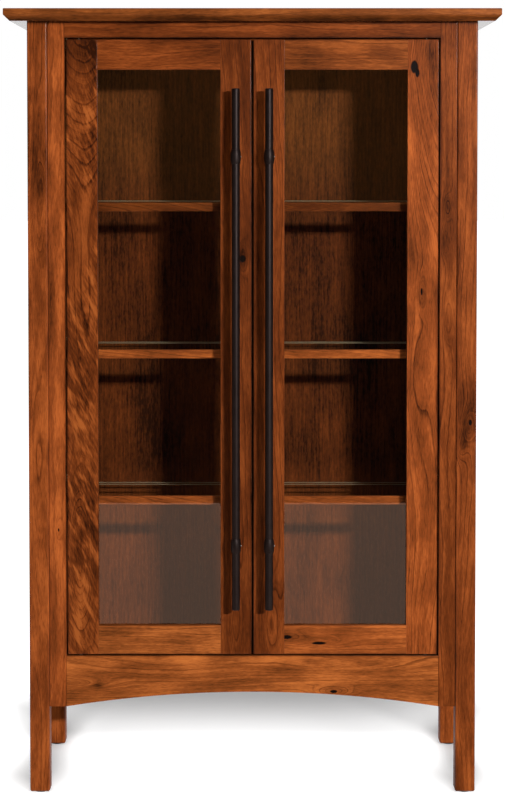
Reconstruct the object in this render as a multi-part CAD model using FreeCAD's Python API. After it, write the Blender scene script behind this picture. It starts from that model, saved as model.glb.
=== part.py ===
import FreeCAD, Part
import os

# A free-standing display cabinet in stained cherry: four square legs, framed sides, an overhanging top,
# two inset glass doors on pivot pins, long bar pulls and three glass shelves with wooden nosings.
# Millimetres. X runs to the right seen from the front, Y to the back, Z up from the floor.
# Depths are measured backwards from the front faces of the legs.

# Whole cabinet
overall_height = 1676.0
case_width = 954.0
case_depth = 415.0
cut_overrun = 5.0

# Top panel
top_thickness = 26.0
top_side_overhang = 46.0
top_front_overhang = 38.0
top_rear_overhang = 4.0
top_undercut = 12.5
top_edge_round = 2.0

# Legs and the glides nailed under them
leg_width = 42.5
leg_edge_round = 3.0
leg_foot_chamfer = 2.5
glide_height = 4.0
glide_radius = 13.0
glide_edge_chamfer = 1.0
glide_nail_radius = 1.5
glide_nail_length = 18.0

# Joinery
tenon_length = 20.0
tenon_thickness = 7.0
tenon_shoulder = 10.0
leg_tenon_wall = 5.0
tongue_depth = 6.0
tongue_thickness = 6.0

# Face frame: two stiles, a top rail and an arched apron, set back between the front legs
face_recess = 5.0
face_thickness = 22.0
face_stile_width = 36.5
face_top_rail_height = 34.0
apron_height = 110.0
apron_arch_rise = 31.5
apron_foot_height = 187.0

# Framed sides
side_recess = 5.0
side_rail_thickness = 22.0
side_top_rail_height = 70.0
side_panel_thickness = 12.0
side_panel_tongue = 10.0

# Back
back_rail_thickness = 22.0
back_top_rail_height = 70.0
back_panel_thickness = 6.0
back_panel_lap = 8.0
back_panel_clearance = 0.5
back_panel_inset = 7.0
back_panel_top_lap = 50.0
back_panel_bottom_lap = 50.0

# Bottom deck and the cleats under it
deck_thickness = 19.0
cleat_size = 19.0
front_cleat_margin = 8.0

# Blocks that hold the top down, behind the side top rails
block_width = 30.0
block_length = 50.0
block_height = 40.0
block_inset = 70.0

# Doors, a little thinner than the face frame so that they close flush against their stop
door_stop_clearance = 1.0
door_gap = 3.0
door_centre_gap = 4.0
door_stile_width = 66.0
door_top_rail_height = 64.0
door_bottom_rail_height = 62.0
door_glass_thickness = 4.0
door_glass_clearance = 1.0
glass_stop_thickness = 7.0
rebate_width = 9.0
brad_radius = 0.8
brad_length = 18.0
brad_end_inset = 270.0

# Door pivots
pivot_inset = 26.0
pivot_pin_radius = 4.0
pivot_pin_seat = 20.0
pivot_pin_reach = 14.0
pivot_running_clearance = 0.05
pivot_collar_radius = 8.0
pivot_thrust_clearance = 0.1
bush_wall = 2.0
bush_length = 16.0

# Door stop and magnetic catches
door_stop_margin = 69.0
door_stop_thickness = 19.0
door_stop_drop = 16.0
catch_width = 46.0
catch_depth = 15.0
catch_height = 14.0
catch_offset = 62.0
catch_gap = 0.3
strike_width = 40.0
strike_height = 12.0
strike_thickness = 1.0

# Bar pulls
pull_bar_radius = 8.5
pull_bar_low_margin = 106.0
pull_bar_high_margin = 105.0
pull_bar_end_round = 2.0
pull_standoff = 49.0
pull_mount_low_inset = 137.0
pull_mount_high_inset = 143.0
collar_end_wall = 1.25
collar_crown = 1.2
collar_length = 30.0
collar_clearance = 0.05
post_radius = 6.0
post_base_radius = 9.0
post_base_height = 3.0
pull_screw_radius = 2.5
pull_screw_grip = 14.0
pull_screw_head_radius = 5.0
pull_screw_head_height = 3.0
grub_screw_radius = 2.0
grub_screw_recess = 0.7

# Shelves: a glass plate lying on the ledge of a wooden nosing, with two plate grooves
lower_shelf_rise = 339.0
upper_shelf_drop = 383.0
shelf_front = 50.0
shelf_back_gap = 17.0
shelf_side_clearance = 2.0
shelf_glass_thickness = 6.0
nosing_depth = 20.0
nosing_height = 19.0
nosing_ledge = 10.0
nosing_edge_round = 1.5
plate_groove_radius = 6.0
plate_groove_depth = 1.5
plate_groove_insets = (48.0, 88.0)

# Shelf strips with their holes, and the pins that carry the shelves
strip_width = 30.0
strip_front_inset = 52.5
strip_rear_inset = 27.5
pin_hole_pitch = 32.0
pin_holes_each_way = 2
pin_hole_depth = 13.0
pin_radius = 2.5
pin_seat = 11.0
pin_clearance = 0.05
pin_tongue_length = 12.0
pin_tongue_width = 14.0
pin_tongue_thickness = 5.0

# Wood screws
screw_radius = 2.0
screw_head_radius = 4.0
screw_head_height = 2.5
screw_bite = 13.0
back_screw_radius = 1.5
back_screw_head_radius = 3.5
back_screw_head_height = 2.0
back_screw_bite = 12.0
back_screw_side_inset = 64.0
back_screw_end_inset = 330.0

# Places worked out from the sizes above
collar_end_radius = pull_bar_radius + collar_clearance + collar_end_wall
collar_radius = collar_end_radius + collar_crown
pull_front_reach = pull_standoff + collar_radius - face_recess
front_reach = max(top_front_overhang, pull_front_reach)
rear_reach = case_depth + top_rear_overhang
leg_front_y = (front_reach - rear_reach) / 2
leg_top = overall_height - top_thickness
half_case = case_width / 2
half_inside = half_case - leg_width
rear_leg_front = case_depth - leg_width
face_back = face_recess + face_thickness
half_face_opening = half_inside - face_stile_width
apron_top = apron_foot_height + apron_height
face_opening_top = leg_top - face_top_rail_height
side_rail_outer = half_case - side_recess
side_rail_inner = side_rail_outer - side_rail_thickness
side_panel_centre = (side_rail_outer + side_rail_inner) / 2
back_tenon_length = side_panel_centre - tenon_thickness / 2 - half_inside - leg_tenon_wall
side_panel_inner = side_panel_centre - side_panel_thickness / 2
side_top_rail_foot = leg_top - side_top_rail_height
back_panel_rear = case_depth - back_panel_inset
back_panel_front = back_panel_rear - back_panel_thickness
back_rail_front = back_panel_front - back_rail_thickness
back_top_rail_foot = leg_top - back_top_rail_height
deck_underside = apron_top - deck_thickness
door_thickness = face_thickness - door_stop_clearance
door_back = face_recess + door_thickness
door_foot = apron_top + door_gap
door_head = face_opening_top - door_gap
door_hinge_edge = half_face_opening - door_gap
door_meeting_edge = door_centre_gap / 2
glass_low = door_foot + door_bottom_rail_height
glass_high = door_head - door_top_rail_height
glass_inner = door_meeting_edge + door_stile_width
glass_outer = door_hinge_edge - door_stile_width
rebate_front = door_back - door_glass_thickness - glass_stop_thickness
pivot_x = door_hinge_edge - pivot_inset
pivot_depth = face_recess + door_thickness / 2
bush_radius = pivot_pin_radius + pivot_running_clearance + bush_wall
door_stop_foot = face_opening_top - door_stop_drop
catch_front = door_back + strike_thickness + catch_gap
catch_foot = door_stop_foot - catch_height
pull_x = door_meeting_edge + door_stile_width / 2
pull_depth = face_recess - pull_standoff
pull_bar_foot = door_foot + pull_bar_low_margin
pull_bar_head = door_head - pull_bar_high_margin
pull_mount_heights = (pull_bar_foot + pull_mount_low_inset, pull_bar_head - pull_mount_high_inset)
half_shelf = half_inside - shelf_side_clearance
shelf_back = back_panel_front - shelf_back_gap
strip_centres = (leg_width + strip_front_inset, rear_leg_front - strip_rear_inset)
lower_shelf_top = apron_top + lower_shelf_rise
upper_shelf_top = leg_top - upper_shelf_drop
shelf_heights = {"lower": lower_shelf_top,
                 "middle": (lower_shelf_top + upper_shelf_top) / 2,
                 "upper": upper_shelf_top}
pin_drop = shelf_glass_thickness + pin_tongue_thickness / 2

SIDES = {"left": -1, "right": 1}
RIGHTWARD = FreeCAD.Vector(1, 0, 0)
BACKWARD = FreeCAD.Vector(0, 1, 0)
UPWARD = FreeCAD.Vector(0, 0, 1)
ACROSS, INWARD = 0, 1

pieces = {}


def spot(x, depth, z):
    """A point given by its depth behind the leg fronts."""
    return FreeCAD.Vector(x, leg_front_y + depth, z)


def around(centre, size):
    """The span of a size that is centred on a value."""
    return (centre - size / 2, centre + size / 2)


def sided(side, near, far):
    """The span between two distances from the middle of the cabinet, on one side of it."""
    return tuple(sorted((side * near, side * far)))


def grown(span, margin):
    """A span made longer by a margin at both ends."""
    return (span[0] - margin, span[1] + margin)


def block(x_span, depth_span, z_span):
    """A box between two x values, two depths and two heights."""
    lengths = [span[1] - span[0] for span in (x_span, depth_span, z_span)]
    return Part.makeBox(*lengths, spot(x_span[0], depth_span[0], z_span[0]))


def rod(radius, start, along, length):
    """A cylinder from a point, along a direction."""
    return Part.makeCylinder(radius, length, start, along)


def picked_edges(shape, test):
    """The edges whose bounding box passes a test."""
    return [edge for edge in shape.Edges if test(edge.BoundBox)]


def tenoned(x_span, depth_span, z_span, run, length=tenon_length):
    """A rail between its shoulders with a tenon on each end; run is the direction of its length."""
    spans = [x_span, depth_span, z_span]
    tenon = list(spans)
    thin = ACROSS if run == INWARD else INWARD
    tenon[run] = grown(spans[run], length)
    tenon[thin] = around(sum(spans[thin]) / 2, tenon_thickness)
    tenon[2] = grown(z_span, -tenon_shoulder)
    return block(*spans).fuse(block(*tenon)).removeSplitter()


def screw(start, along, length, radius, head_radius, head_height):
    """A round-headed screw: its head stands on the start point and its shank runs along a direction."""
    shank = rod(radius, start, along, length)
    head = rod(head_radius, start, -along, head_height)
    return shank.fuse(head).removeSplitter()


def let_in(host, guests):
    """Cuts the mortises, grooves and holes that the guests seat in."""
    for guest in guests:
        pieces[host] = pieces[host].cut(pieces[guest])


def top_panel():
    """The overhanging top, undercut along its front and sides and eased along its upper edges."""
    half_top = half_case + top_side_overhang
    panel = block((-half_top, half_top), (-top_front_overhang, rear_reach), (leg_top, overall_height))
    rear_y = leg_front_y + rear_reach
    under = picked_edges(panel, lambda box: box.ZMax < overall_height and box.YMin < rear_y)
    panel = panel.makeChamfer(top_undercut, under)
    upper = picked_edges(panel, lambda box: box.ZMin > leg_top + top_undercut)
    return panel.makeFillet(top_edge_round, upper)


def leg(side, front):
    """One square leg with eased edges and a chamfered foot."""
    start = 0 if front else rear_leg_front
    post = block(sided(side, half_inside, half_case), (start, start + leg_width), (glide_height, leg_top))
    post = post.makeFillet(leg_edge_round, picked_edges(post, lambda box: box.ZLength > leg_width))
    foot = picked_edges(post, lambda box: box.ZMax < glide_height + leg_foot_chamfer)
    return post.makeChamfer(leg_foot_chamfer, foot)


def floor_glides():
    """Four round glides, each with the nail that holds it in its leg."""
    glides = []
    for side in SIDES.values():
        for start in (0, rear_leg_front):
            centre = spot(side * (half_inside + half_case) / 2, start + leg_width / 2, 0)
            disc = rod(glide_radius, centre, UPWARD, glide_height)
            rim = picked_edges(disc, lambda box: box.ZMax < glide_height and box.XLength > glide_radius)
            disc = disc.makeChamfer(glide_edge_chamfer, rim)
            nail = rod(glide_nail_radius, centre, UPWARD, glide_height + glide_nail_length)
            glides.append(disc.fuse(nail).removeSplitter())
    return Part.makeCompound(glides)


def face_stile(side):
    """A stile of the face frame with the tongue that runs in its leg."""
    heights = (apron_foot_height, leg_top)
    stile = block(sided(side, half_face_opening, half_inside), (face_recess, face_back), heights)
    tongue_middle = (face_recess + face_back) / 2
    tongue = block(sided(side, half_inside, half_inside + tongue_depth),
                   around(tongue_middle, tongue_thickness), heights)
    return stile.fuse(tongue).removeSplitter()


def arched_apron():
    """The apron under the doors, with a shallow arch from stile to stile."""
    half = half_face_opening
    apron = tenoned((-half, half), (face_recess, face_back), (apron_foot_height, apron_top), ACROSS)
    arch_radius = (half ** 2 + apron_arch_rise ** 2) / (2 * apron_arch_rise)
    arch_centre = apron_foot_height + apron_arch_rise - arch_radius
    start = spot(0, face_recess - cut_overrun, arch_centre)
    return apron.cut(rod(arch_radius, start, BACKWARD, face_thickness + 2 * cut_overrun))


def face_top_rail():
    """The rail above the doors."""
    return tenoned((-half_face_opening, half_face_opening), (face_recess, face_back),
                   (face_opening_top, leg_top), ACROSS)


def side_rail(side, heights):
    """A rail of a side frame, tenoned into the front and rear legs."""
    across = sided(side, side_rail_inner, side_rail_outer)
    return tenoned(across, (leg_width, rear_leg_front), heights, INWARD)


def side_panel(side):
    """The flat panel that runs in the grooves of a side frame."""
    return block(sided(side, side_panel_inner, side_panel_inner + side_panel_thickness),
                 grown((leg_width, rear_leg_front), side_panel_tongue),
                 grown((apron_top, side_top_rail_foot), side_panel_tongue))


def back_rail(heights):
    """A rail between the rear legs, in front of the back panel."""
    across = (-half_inside, half_inside)
    return tenoned(across, (back_rail_front, back_panel_front), heights, ACROSS, back_tenon_length)


def back_panel_heights():
    """The back panel laps onto both back rails."""
    return (deck_underside - back_panel_bottom_lap, back_top_rail_foot + back_panel_top_lap)


def back_panel():
    """The thin back, laid into the rebates of the rear legs."""
    half = half_inside + back_panel_lap - back_panel_clearance
    return block((-half, half), (back_panel_front, back_panel_rear), back_panel_heights())


def back_rebate(side):
    """The space that the back panel needs in a rear leg."""
    return block(sided(side, half_inside - cut_overrun, half_inside + back_panel_lap),
                 (back_panel_front, case_depth + cut_overrun),
                 grown(back_panel_heights(), back_panel_clearance))


def back_panel_screws():
    """Screws through the back panel, into both back rails and the rebates of the rear legs."""
    low, high = back_panel_heights()
    rows = ((low + deck_underside) / 2, (high + back_top_rail_foot) / 2)
    rail_x = half_inside - back_screw_side_inset
    rail_places = [(x, height) for x in (-rail_x, 0, rail_x) for height in rows]
    leg_x = half_inside + back_panel_lap / 2
    leg_heights = (low + back_screw_end_inset, (low + high) / 2, high - back_screw_end_inset)
    leg_places = [(side * leg_x, height) for side in SIDES.values() for height in leg_heights]
    length = back_panel_thickness + back_screw_bite
    return Part.makeCompound([
        screw(spot(x, back_panel_rear, height), -BACKWARD, length,
              back_screw_radius, back_screw_head_radius, back_screw_head_height)
        for x, height in rail_places + leg_places])


def bottom_deck():
    """The floor of the display space, notched round the four legs."""
    across = (-side_rail_inner, side_rail_inner)
    deck = block(across, (face_back, back_panel_front), (deck_underside, apron_top))
    heights = grown((deck_underside, apron_top), cut_overrun)
    for side in SIDES.values():
        corner = sided(side, half_inside, side_rail_inner + cut_overrun)
        deck = deck.cut(block(corner, (face_back - cut_overrun, leg_width), heights))
        deck = deck.cut(block(corner, (rear_leg_front, back_panel_front + cut_overrun), heights))
    return deck


def cleat_spans():
    """Where the deck cleats lie: one behind the apron and one along each side rail."""
    heights = (deck_underside - cleat_size, deck_underside)
    half_front = half_face_opening - front_cleat_margin
    front = ((-half_front, half_front), (face_back, face_back + cleat_size), heights)
    run = (leg_width, rear_leg_front)
    sides = [(sided(side, side_rail_inner - cleat_size, side_rail_inner), run, heights)
             for side in SIDES.values()]
    return [front] + sides


def deck_cleats():
    """The battens that carry the deck."""
    return Part.makeCompound([block(*spans) for spans in cleat_spans()])


def top_blocks():
    """The side and the middle depth of each of the four blocks that hold the top."""
    places = []
    for side in SIDES.values():
        for centre in (leg_width + block_inset, rear_leg_front - block_inset):
            places.append((side, centre))
    return places


def top_fastener_blocks():
    """Hardwood blocks behind the side top rails."""
    heights = (leg_top - block_height, leg_top)
    inner = side_rail_inner - block_width
    return Part.makeCompound([
        block(sided(side, inner, side_rail_inner), around(centre, block_length), heights)
        for side, centre in top_blocks()])


def case_screws():
    """Screws through the blocks into the top and the side rails, and through the cleats into the deck."""
    sizes = (screw_radius, screw_head_radius, screw_head_height)
    quarter = block_length / 4
    screws = []
    for side, centre in top_blocks():
        upright = spot(side * (side_rail_inner - block_width / 2), centre - quarter, leg_top - block_height)
        screws.append(screw(upright, UPWARD, block_height + screw_bite, *sizes))
        level = spot(side * (side_rail_inner - block_width), centre + quarter, leg_top - block_height / 2)
        screws.append(screw(level, RIGHTWARD * side, block_width + screw_bite, *sizes))
    for x_span, depth_span, heights in cleat_spans():
        long_x = x_span[1] - x_span[0] > depth_span[1] - depth_span[0]
        for end in (-1, 1):
            x = sum(x_span) / 2 + (end * (x_span[1] - x_span[0]) / 4 if long_x else 0)
            depth = sum(depth_span) / 2 + (0 if long_x else end * (depth_span[1] - depth_span[0]) / 4)
            screws.append(screw(spot(x, depth, heights[0]), UPWARD, cleat_size + screw_bite, *sizes))
    return Part.makeCompound(screws)


def door_stop_rail():
    """The strip behind the face top rail that the doors close against."""
    half = pivot_x - door_stop_margin
    return block((-half, half), (face_back, face_back + door_stop_thickness), (door_stop_foot, leg_top))


def magnetic_catches():
    """Two magnetic catches under the door stop, one for each door."""
    return Part.makeCompound([
        block(around(side * catch_offset, catch_width), (catch_front, catch_front + catch_depth),
              (catch_foot, door_stop_foot))
        for side in SIDES.values()])


def door_pivot_pins():
    """The fixed pins that the doors turn on; the lower ones have a thrust collar."""
    pins = []
    length = pivot_pin_seat + door_gap + pivot_pin_reach
    for side in SIDES.values():
        low_start = spot(side * pivot_x, pivot_depth, apron_top - pivot_pin_seat)
        low = rod(pivot_pin_radius, low_start, UPWARD, length)
        collar = rod(pivot_collar_radius, spot(side * pivot_x, pivot_depth, apron_top), UPWARD,
                     door_gap - pivot_thrust_clearance)
        pins.append(low.fuse(collar).removeSplitter())
        high_start = spot(side * pivot_x, pivot_depth, door_head - pivot_pin_reach)
        pins.append(rod(pivot_pin_radius, high_start, UPWARD, length))
    return Part.makeCompound(pins)


def pivot_bushes(side):
    """The two bushes in a door's hinge stile."""
    bore = pivot_pin_radius + pivot_running_clearance
    bushes = []
    for foot in (door_foot, door_head - bush_length):
        start = spot(side * pivot_x, pivot_depth, foot)
        sleeve = rod(bush_radius, start, UPWARD, bush_length)
        bushes.append(sleeve.cut(rod(bore, start, UPWARD, bush_length)))
    return Part.makeCompound(bushes)


def pivot_bush_seats(side):
    """The holes in a hinge stile that the bushes fill."""
    return [rod(bush_radius, spot(side * pivot_x, pivot_depth, foot), UPWARD, bush_length)
            for foot in (door_foot, door_head - bush_length)]


def glass_pocket(side):
    """The rebate for the glass and its stops, open to the back of the door."""
    return block(grown(sided(side, glass_inner, glass_outer), rebate_width),
                 (rebate_front, door_back + cut_overrun),
                 grown((glass_low, glass_high), rebate_width))


def door_stile(side, near, far):
    """A full-height upright of a door frame."""
    stile = block(sided(side, near, far), (face_recess, door_back), (door_foot, door_head))
    return stile.cut(glass_pocket(side))


def door_rail(side, heights):
    """A cross rail of a door frame, tenoned into both stiles."""
    rail = tenoned(sided(side, glass_inner, glass_outer), (face_recess, door_back), heights, ACROSS)
    return rail.cut(glass_pocket(side))


def door_glass(side):
    """The pane, a little smaller than its rebate."""
    margin = rebate_width - door_glass_clearance
    return block(grown(sided(side, glass_inner, glass_outer), margin),
                 (rebate_front, rebate_front + door_glass_thickness),
                 grown((glass_low, glass_high), margin))


def glass_stops(side):
    """Four wooden strips behind the pane, the uprights running the full height of the rebate."""
    depths = (rebate_front + door_glass_thickness, door_back)
    opening = sided(side, glass_inner, glass_outer)
    tall = grown((glass_low, glass_high), rebate_width)
    strips = [block((opening[0] - rebate_width, opening[0]), depths, tall),
              block((opening[1], opening[1] + rebate_width), depths, tall),
              block(opening, depths, (glass_low - rebate_width, glass_low)),
              block(opening, depths, (glass_high, glass_high + rebate_width))]
    return Part.makeCompound(strips)


def stop_brads(side):
    """Fine brads driven sideways through the stops, clear of the glass."""
    opening = sided(side, glass_inner, glass_outer)
    depth = door_back - glass_stop_thickness / 2
    middle_x = sum(opening) / 2
    brads = []
    for height in (glass_low + brad_end_inset, (glass_low + glass_high) / 2, glass_high - brad_end_inset):
        brads.append(rod(brad_radius, spot(opening[0], depth, height), -RIGHTWARD, brad_length))
        brads.append(rod(brad_radius, spot(opening[1], depth, height), RIGHTWARD, brad_length))
    brads.append(rod(brad_radius, spot(middle_x, depth, glass_low), -UPWARD, brad_length))
    brads.append(rod(brad_radius, spot(middle_x, depth, glass_high), UPWARD, brad_length))
    return Part.makeCompound(brads)


def strike_plate(side):
    """The steel plate on the back of a door that its catch holds."""
    return block(around(side * catch_offset, strike_width), (door_back, door_back + strike_thickness),
                 around((catch_foot + door_stop_foot) / 2, strike_height))


def pull_bar(side):
    """The long round bar of a pull, eased at both ends."""
    foot = spot(side * pull_x, pull_depth, pull_bar_foot)
    bar = rod(pull_bar_radius, foot, UPWARD, pull_bar_head - pull_bar_foot)
    return bar.makeFillet(pull_bar_end_round, picked_edges(bar, lambda box: box.ZLength < pull_bar_radius))


def collar_profile(side, height):
    """Half of a barrel-shaped collar, to be turned about the bar's axis."""
    low, high = around(height, collar_length)
    outline = ((0, low), (collar_end_radius, low), (collar_end_radius, high), (0, high))
    corners = [spot(side * pull_x + radius, pull_depth, z) for radius, z in outline]
    crown = spot(side * pull_x + collar_radius, pull_depth, height)
    edges = [Part.LineSegment(corners[0], corners[1]).toShape(),
             Part.Arc(corners[1], crown, corners[2]).toShape(),
             Part.LineSegment(corners[2], corners[3]).toShape(),
             Part.LineSegment(corners[3], corners[0]).toShape()]
    return Part.Face(Part.Wire(edges))


def pull_mounts(side):
    """Two barrel collars round the bar, each on the post that stands on the door."""
    mounts = []
    for height in pull_mount_heights:
        axis_foot = spot(side * pull_x, pull_depth, height)
        barrel = collar_profile(side, height).revolve(axis_foot, UPWARD, 360)
        post = rod(post_radius, axis_foot, BACKWARD, pull_standoff)
        base = rod(post_base_radius, spot(side * pull_x, face_recess, height), -BACKWARD, post_base_height)
        bore_start = spot(side * pull_x, pull_depth, height - collar_length)
        bore = rod(pull_bar_radius + collar_clearance, bore_start, UPWARD, 2 * collar_length)
        grub_hole = rod(grub_screw_radius, axis_foot, RIGHTWARD, collar_radius + cut_overrun)
        mounts.append(barrel.fuse(post).fuse(base).cut(bore).cut(grub_hole).removeSplitter())
    return Part.makeCompound(mounts)


def pull_screws(side):
    """The screws through the meeting stile into the posts, and the grub screws in the collars."""
    screws = []
    grub_length = collar_radius - pull_bar_radius - collar_clearance - grub_screw_recess
    for height in pull_mount_heights:
        screw_start = spot(side * pull_x, door_back, height)
        screws.append(screw(screw_start, -BACKWARD, door_thickness + pull_screw_grip,
                            pull_screw_radius, pull_screw_head_radius, pull_screw_head_height))
        grub_start = spot(side * pull_x + pull_bar_radius + collar_clearance, pull_depth, height)
        screws.append(rod(grub_screw_radius, grub_start, RIGHTWARD, grub_length))
    return Part.makeCompound(screws)


def build_door(name, side):
    """All the pieces that swing with one door."""
    pieces[f"{name}_door_hinge_stile"] = door_stile(side, glass_outer, door_hinge_edge)
    pieces[f"{name}_door_meeting_stile"] = door_stile(side, door_meeting_edge, glass_inner)
    pieces[f"{name}_door_top_rail"] = door_rail(side, (glass_high, door_head))
    pieces[f"{name}_door_bottom_rail"] = door_rail(side, (door_foot, glass_low))
    pieces[f"{name}_door_glass"] = door_glass(side)
    pieces[f"{name}_door_glass_stops"] = glass_stops(side)
    pieces[f"{name}_door_stop_brads"] = stop_brads(side)
    pieces[f"{name}_door_pivot_bushes"] = pivot_bushes(side)
    pieces[f"{name}_door_strike_plate"] = strike_plate(side)
    pieces[f"{name}_pull_bar"] = pull_bar(side)
    pieces[f"{name}_pull_mounts"] = pull_mounts(side)
    pieces[f"{name}_pull_screws"] = pull_screws(side)

    rails = [f"{name}_door_top_rail", f"{name}_door_bottom_rail"]
    brads = f"{name}_door_stop_brads"
    for stile in ("hinge", "meeting"):
        let_in(f"{name}_door_{stile}_stile", rails + [brads])
    for host in rails + [f"{name}_door_glass_stops"]:
        let_in(host, [brads])
    for seat in pivot_bush_seats(side):
        pieces[f"{name}_door_hinge_stile"] = pieces[f"{name}_door_hinge_stile"].cut(seat)
    for host in (f"{name}_door_meeting_stile", f"{name}_pull_mounts"):
        let_in(host, [f"{name}_pull_screws"])


def build_sides():
    """Legs, face stiles and side frames, left and right."""
    for name, side in SIDES.items():
        pieces[f"front_{name}_leg"] = leg(side, True)
        pieces[f"rear_{name}_leg"] = leg(side, False)
        pieces[f"{name}_face_stile"] = face_stile(side)
        pieces[f"{name}_side_top_rail"] = side_rail(side, (side_top_rail_foot, leg_top))
        pieces[f"{name}_side_bottom_rail"] = side_rail(side, (apron_foot_height, apron_top))
        pieces[f"{name}_side_panel"] = side_panel(side)


def build_case():
    """The fixed case, with its joinery cut last."""
    build_sides()
    pieces["top_panel"] = top_panel()
    pieces["face_top_rail"] = face_top_rail()
    pieces["arched_apron"] = arched_apron()
    pieces["back_top_rail"] = back_rail((back_top_rail_foot, leg_top))
    pieces["back_bottom_rail"] = back_rail((apron_foot_height, deck_underside))
    pieces["back_panel"] = back_panel()
    pieces["back_panel_screws"] = back_panel_screws()
    pieces["bottom_deck"] = bottom_deck()
    pieces["deck_cleats"] = deck_cleats()
    pieces["top_fastener_blocks"] = top_fastener_blocks()
    pieces["case_screws"] = case_screws()
    pieces["door_stop_rail"] = door_stop_rail()
    pieces["magnetic_catches"] = magnetic_catches()
    pieces["door_pivot_pins"] = door_pivot_pins()
    pieces["floor_glides"] = floor_glides()
    pieces["shelf_pins"] = shelf_pins()
    pieces["shelf_strips"] = shelf_strips()

    face_rails = ["face_top_rail", "arched_apron"]
    back_rails = ["back_top_rail", "back_bottom_rail"]
    for name, side in SIDES.items():
        side_rails = [f"{name}_side_top_rail", f"{name}_side_bottom_rail"]
        in_both_legs = side_rails + [f"{name}_side_panel", "floor_glides"]
        rear_leg = f"rear_{name}_leg"
        pieces[rear_leg] = pieces[rear_leg].cut(back_rebate(side))
        let_in(f"front_{name}_leg", in_both_legs + [f"{name}_face_stile"])
        let_in(rear_leg, in_both_legs + back_rails + ["back_panel_screws"])
        let_in(f"{name}_face_stile", face_rails)
        for rail in side_rails:
            let_in(rail, [f"{name}_side_panel", "case_screws"])
    for host in face_rails:
        let_in(host, ["door_pivot_pins"])
    for host in back_rails + ["back_panel"]:
        let_in(host, ["back_panel_screws"])
    for host in ("top_panel", "top_fastener_blocks", "deck_cleats", "bottom_deck"):
        let_in(host, ["case_screws"])


def shelf_strips():
    """Four upright strips between the side panels and the shelves, with rows of pin holes."""
    strips = []
    for side in SIDES.values():
        for centre in strip_centres:
            strip = block(sided(side, half_inside, side_panel_inner), around(centre, strip_width),
                          (apron_top, side_top_rail_foot))
            for top in shelf_heights.values():
                for step in range(-pin_holes_each_way, pin_holes_each_way + 1):
                    mouth = spot(side * half_inside, centre, top - pin_drop + step * pin_hole_pitch)
                    hole = rod(pin_radius + pin_clearance, mouth, RIGHTWARD * side, pin_hole_depth)
                    strip = strip.cut(hole)
            strips.append(strip)
    return Part.makeCompound(strips)


def shelf_pins():
    """Four pins for each shelf: a peg in the strip and a flat tongue under the glass."""
    pins = []
    for top in shelf_heights.values():
        for side in SIDES.values():
            for centre in strip_centres:
                tongue = block(sided(side, half_inside - pin_tongue_length, half_inside),
                               around(centre, pin_tongue_width),
                               around(top - pin_drop, pin_tongue_thickness))
                peg_start = spot(side * (half_inside - pin_tongue_length / 2), centre, top - pin_drop)
                peg = rod(pin_radius, peg_start, RIGHTWARD * side, pin_tongue_length / 2 + pin_seat)
                pins.append(tongue.fuse(peg).removeSplitter())
    return Part.makeCompound(pins)


def shelf_glass(top):
    """A glass plate with two plate grooves across its upper face, near the back."""
    across = (-half_shelf, half_shelf)
    plate_front = shelf_front + nosing_depth - nosing_ledge
    plate = block(across, (plate_front, shelf_back), (top - shelf_glass_thickness, top))
    groove_axis = top + plate_groove_radius - plate_groove_depth
    for inset in plate_groove_insets:
        start = spot(-half_shelf - cut_overrun, shelf_back - inset, groove_axis)
        plate = plate.cut(rod(plate_groove_radius, start, RIGHTWARD, 2 * (half_shelf + cut_overrun)))
    return plate


def shelf_nosing(top):
    """The wooden front strip of a shelf, with a ledge that the glass lies on."""
    across = (-half_shelf, half_shelf)
    strip = block(across, (shelf_front, shelf_front + nosing_depth), (top - nosing_height, top))
    near_front = leg_front_y + shelf_front + nosing_edge_round
    front = picked_edges(strip, lambda box: box.YMax < near_front and box.XLength > nosing_depth)
    strip = strip.makeFillet(nosing_edge_round, front)
    seat = block(grown(across, cut_overrun),
                 (shelf_front + nosing_depth - nosing_ledge, shelf_front + nosing_depth + cut_overrun),
                 (top - shelf_glass_thickness, top + cut_overrun))
    return strip.cut(seat)


def build_shelves():
    """Glass and nosing of each shelf."""
    for name, top in shelf_heights.items():
        pieces[f"{name}_shelf_glass"] = shelf_glass(top)
        pieces[f"{name}_shelf_nosing"] = shelf_nosing(top)


def main():
    """Builds every piece and writes one STEP file for each node."""
    os.makedirs("parts", exist_ok=True)
    build_case()
    for name, side in SIDES.items():
        build_door(name, side)
    build_shelves()
    for node, shape in pieces.items():
        shape.exportStep(f"parts/{node}.step")
        print(node, len(shape.Solids), "valid" if shape.isValid() else "INVALID", round(shape.Volume))
    print(len(pieces), "nodes")


main()
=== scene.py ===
"""A tall display cabinet in stained knotty cherry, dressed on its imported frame."""
import math
from collections import namedtuple
from typing import NamedTuple

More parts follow.
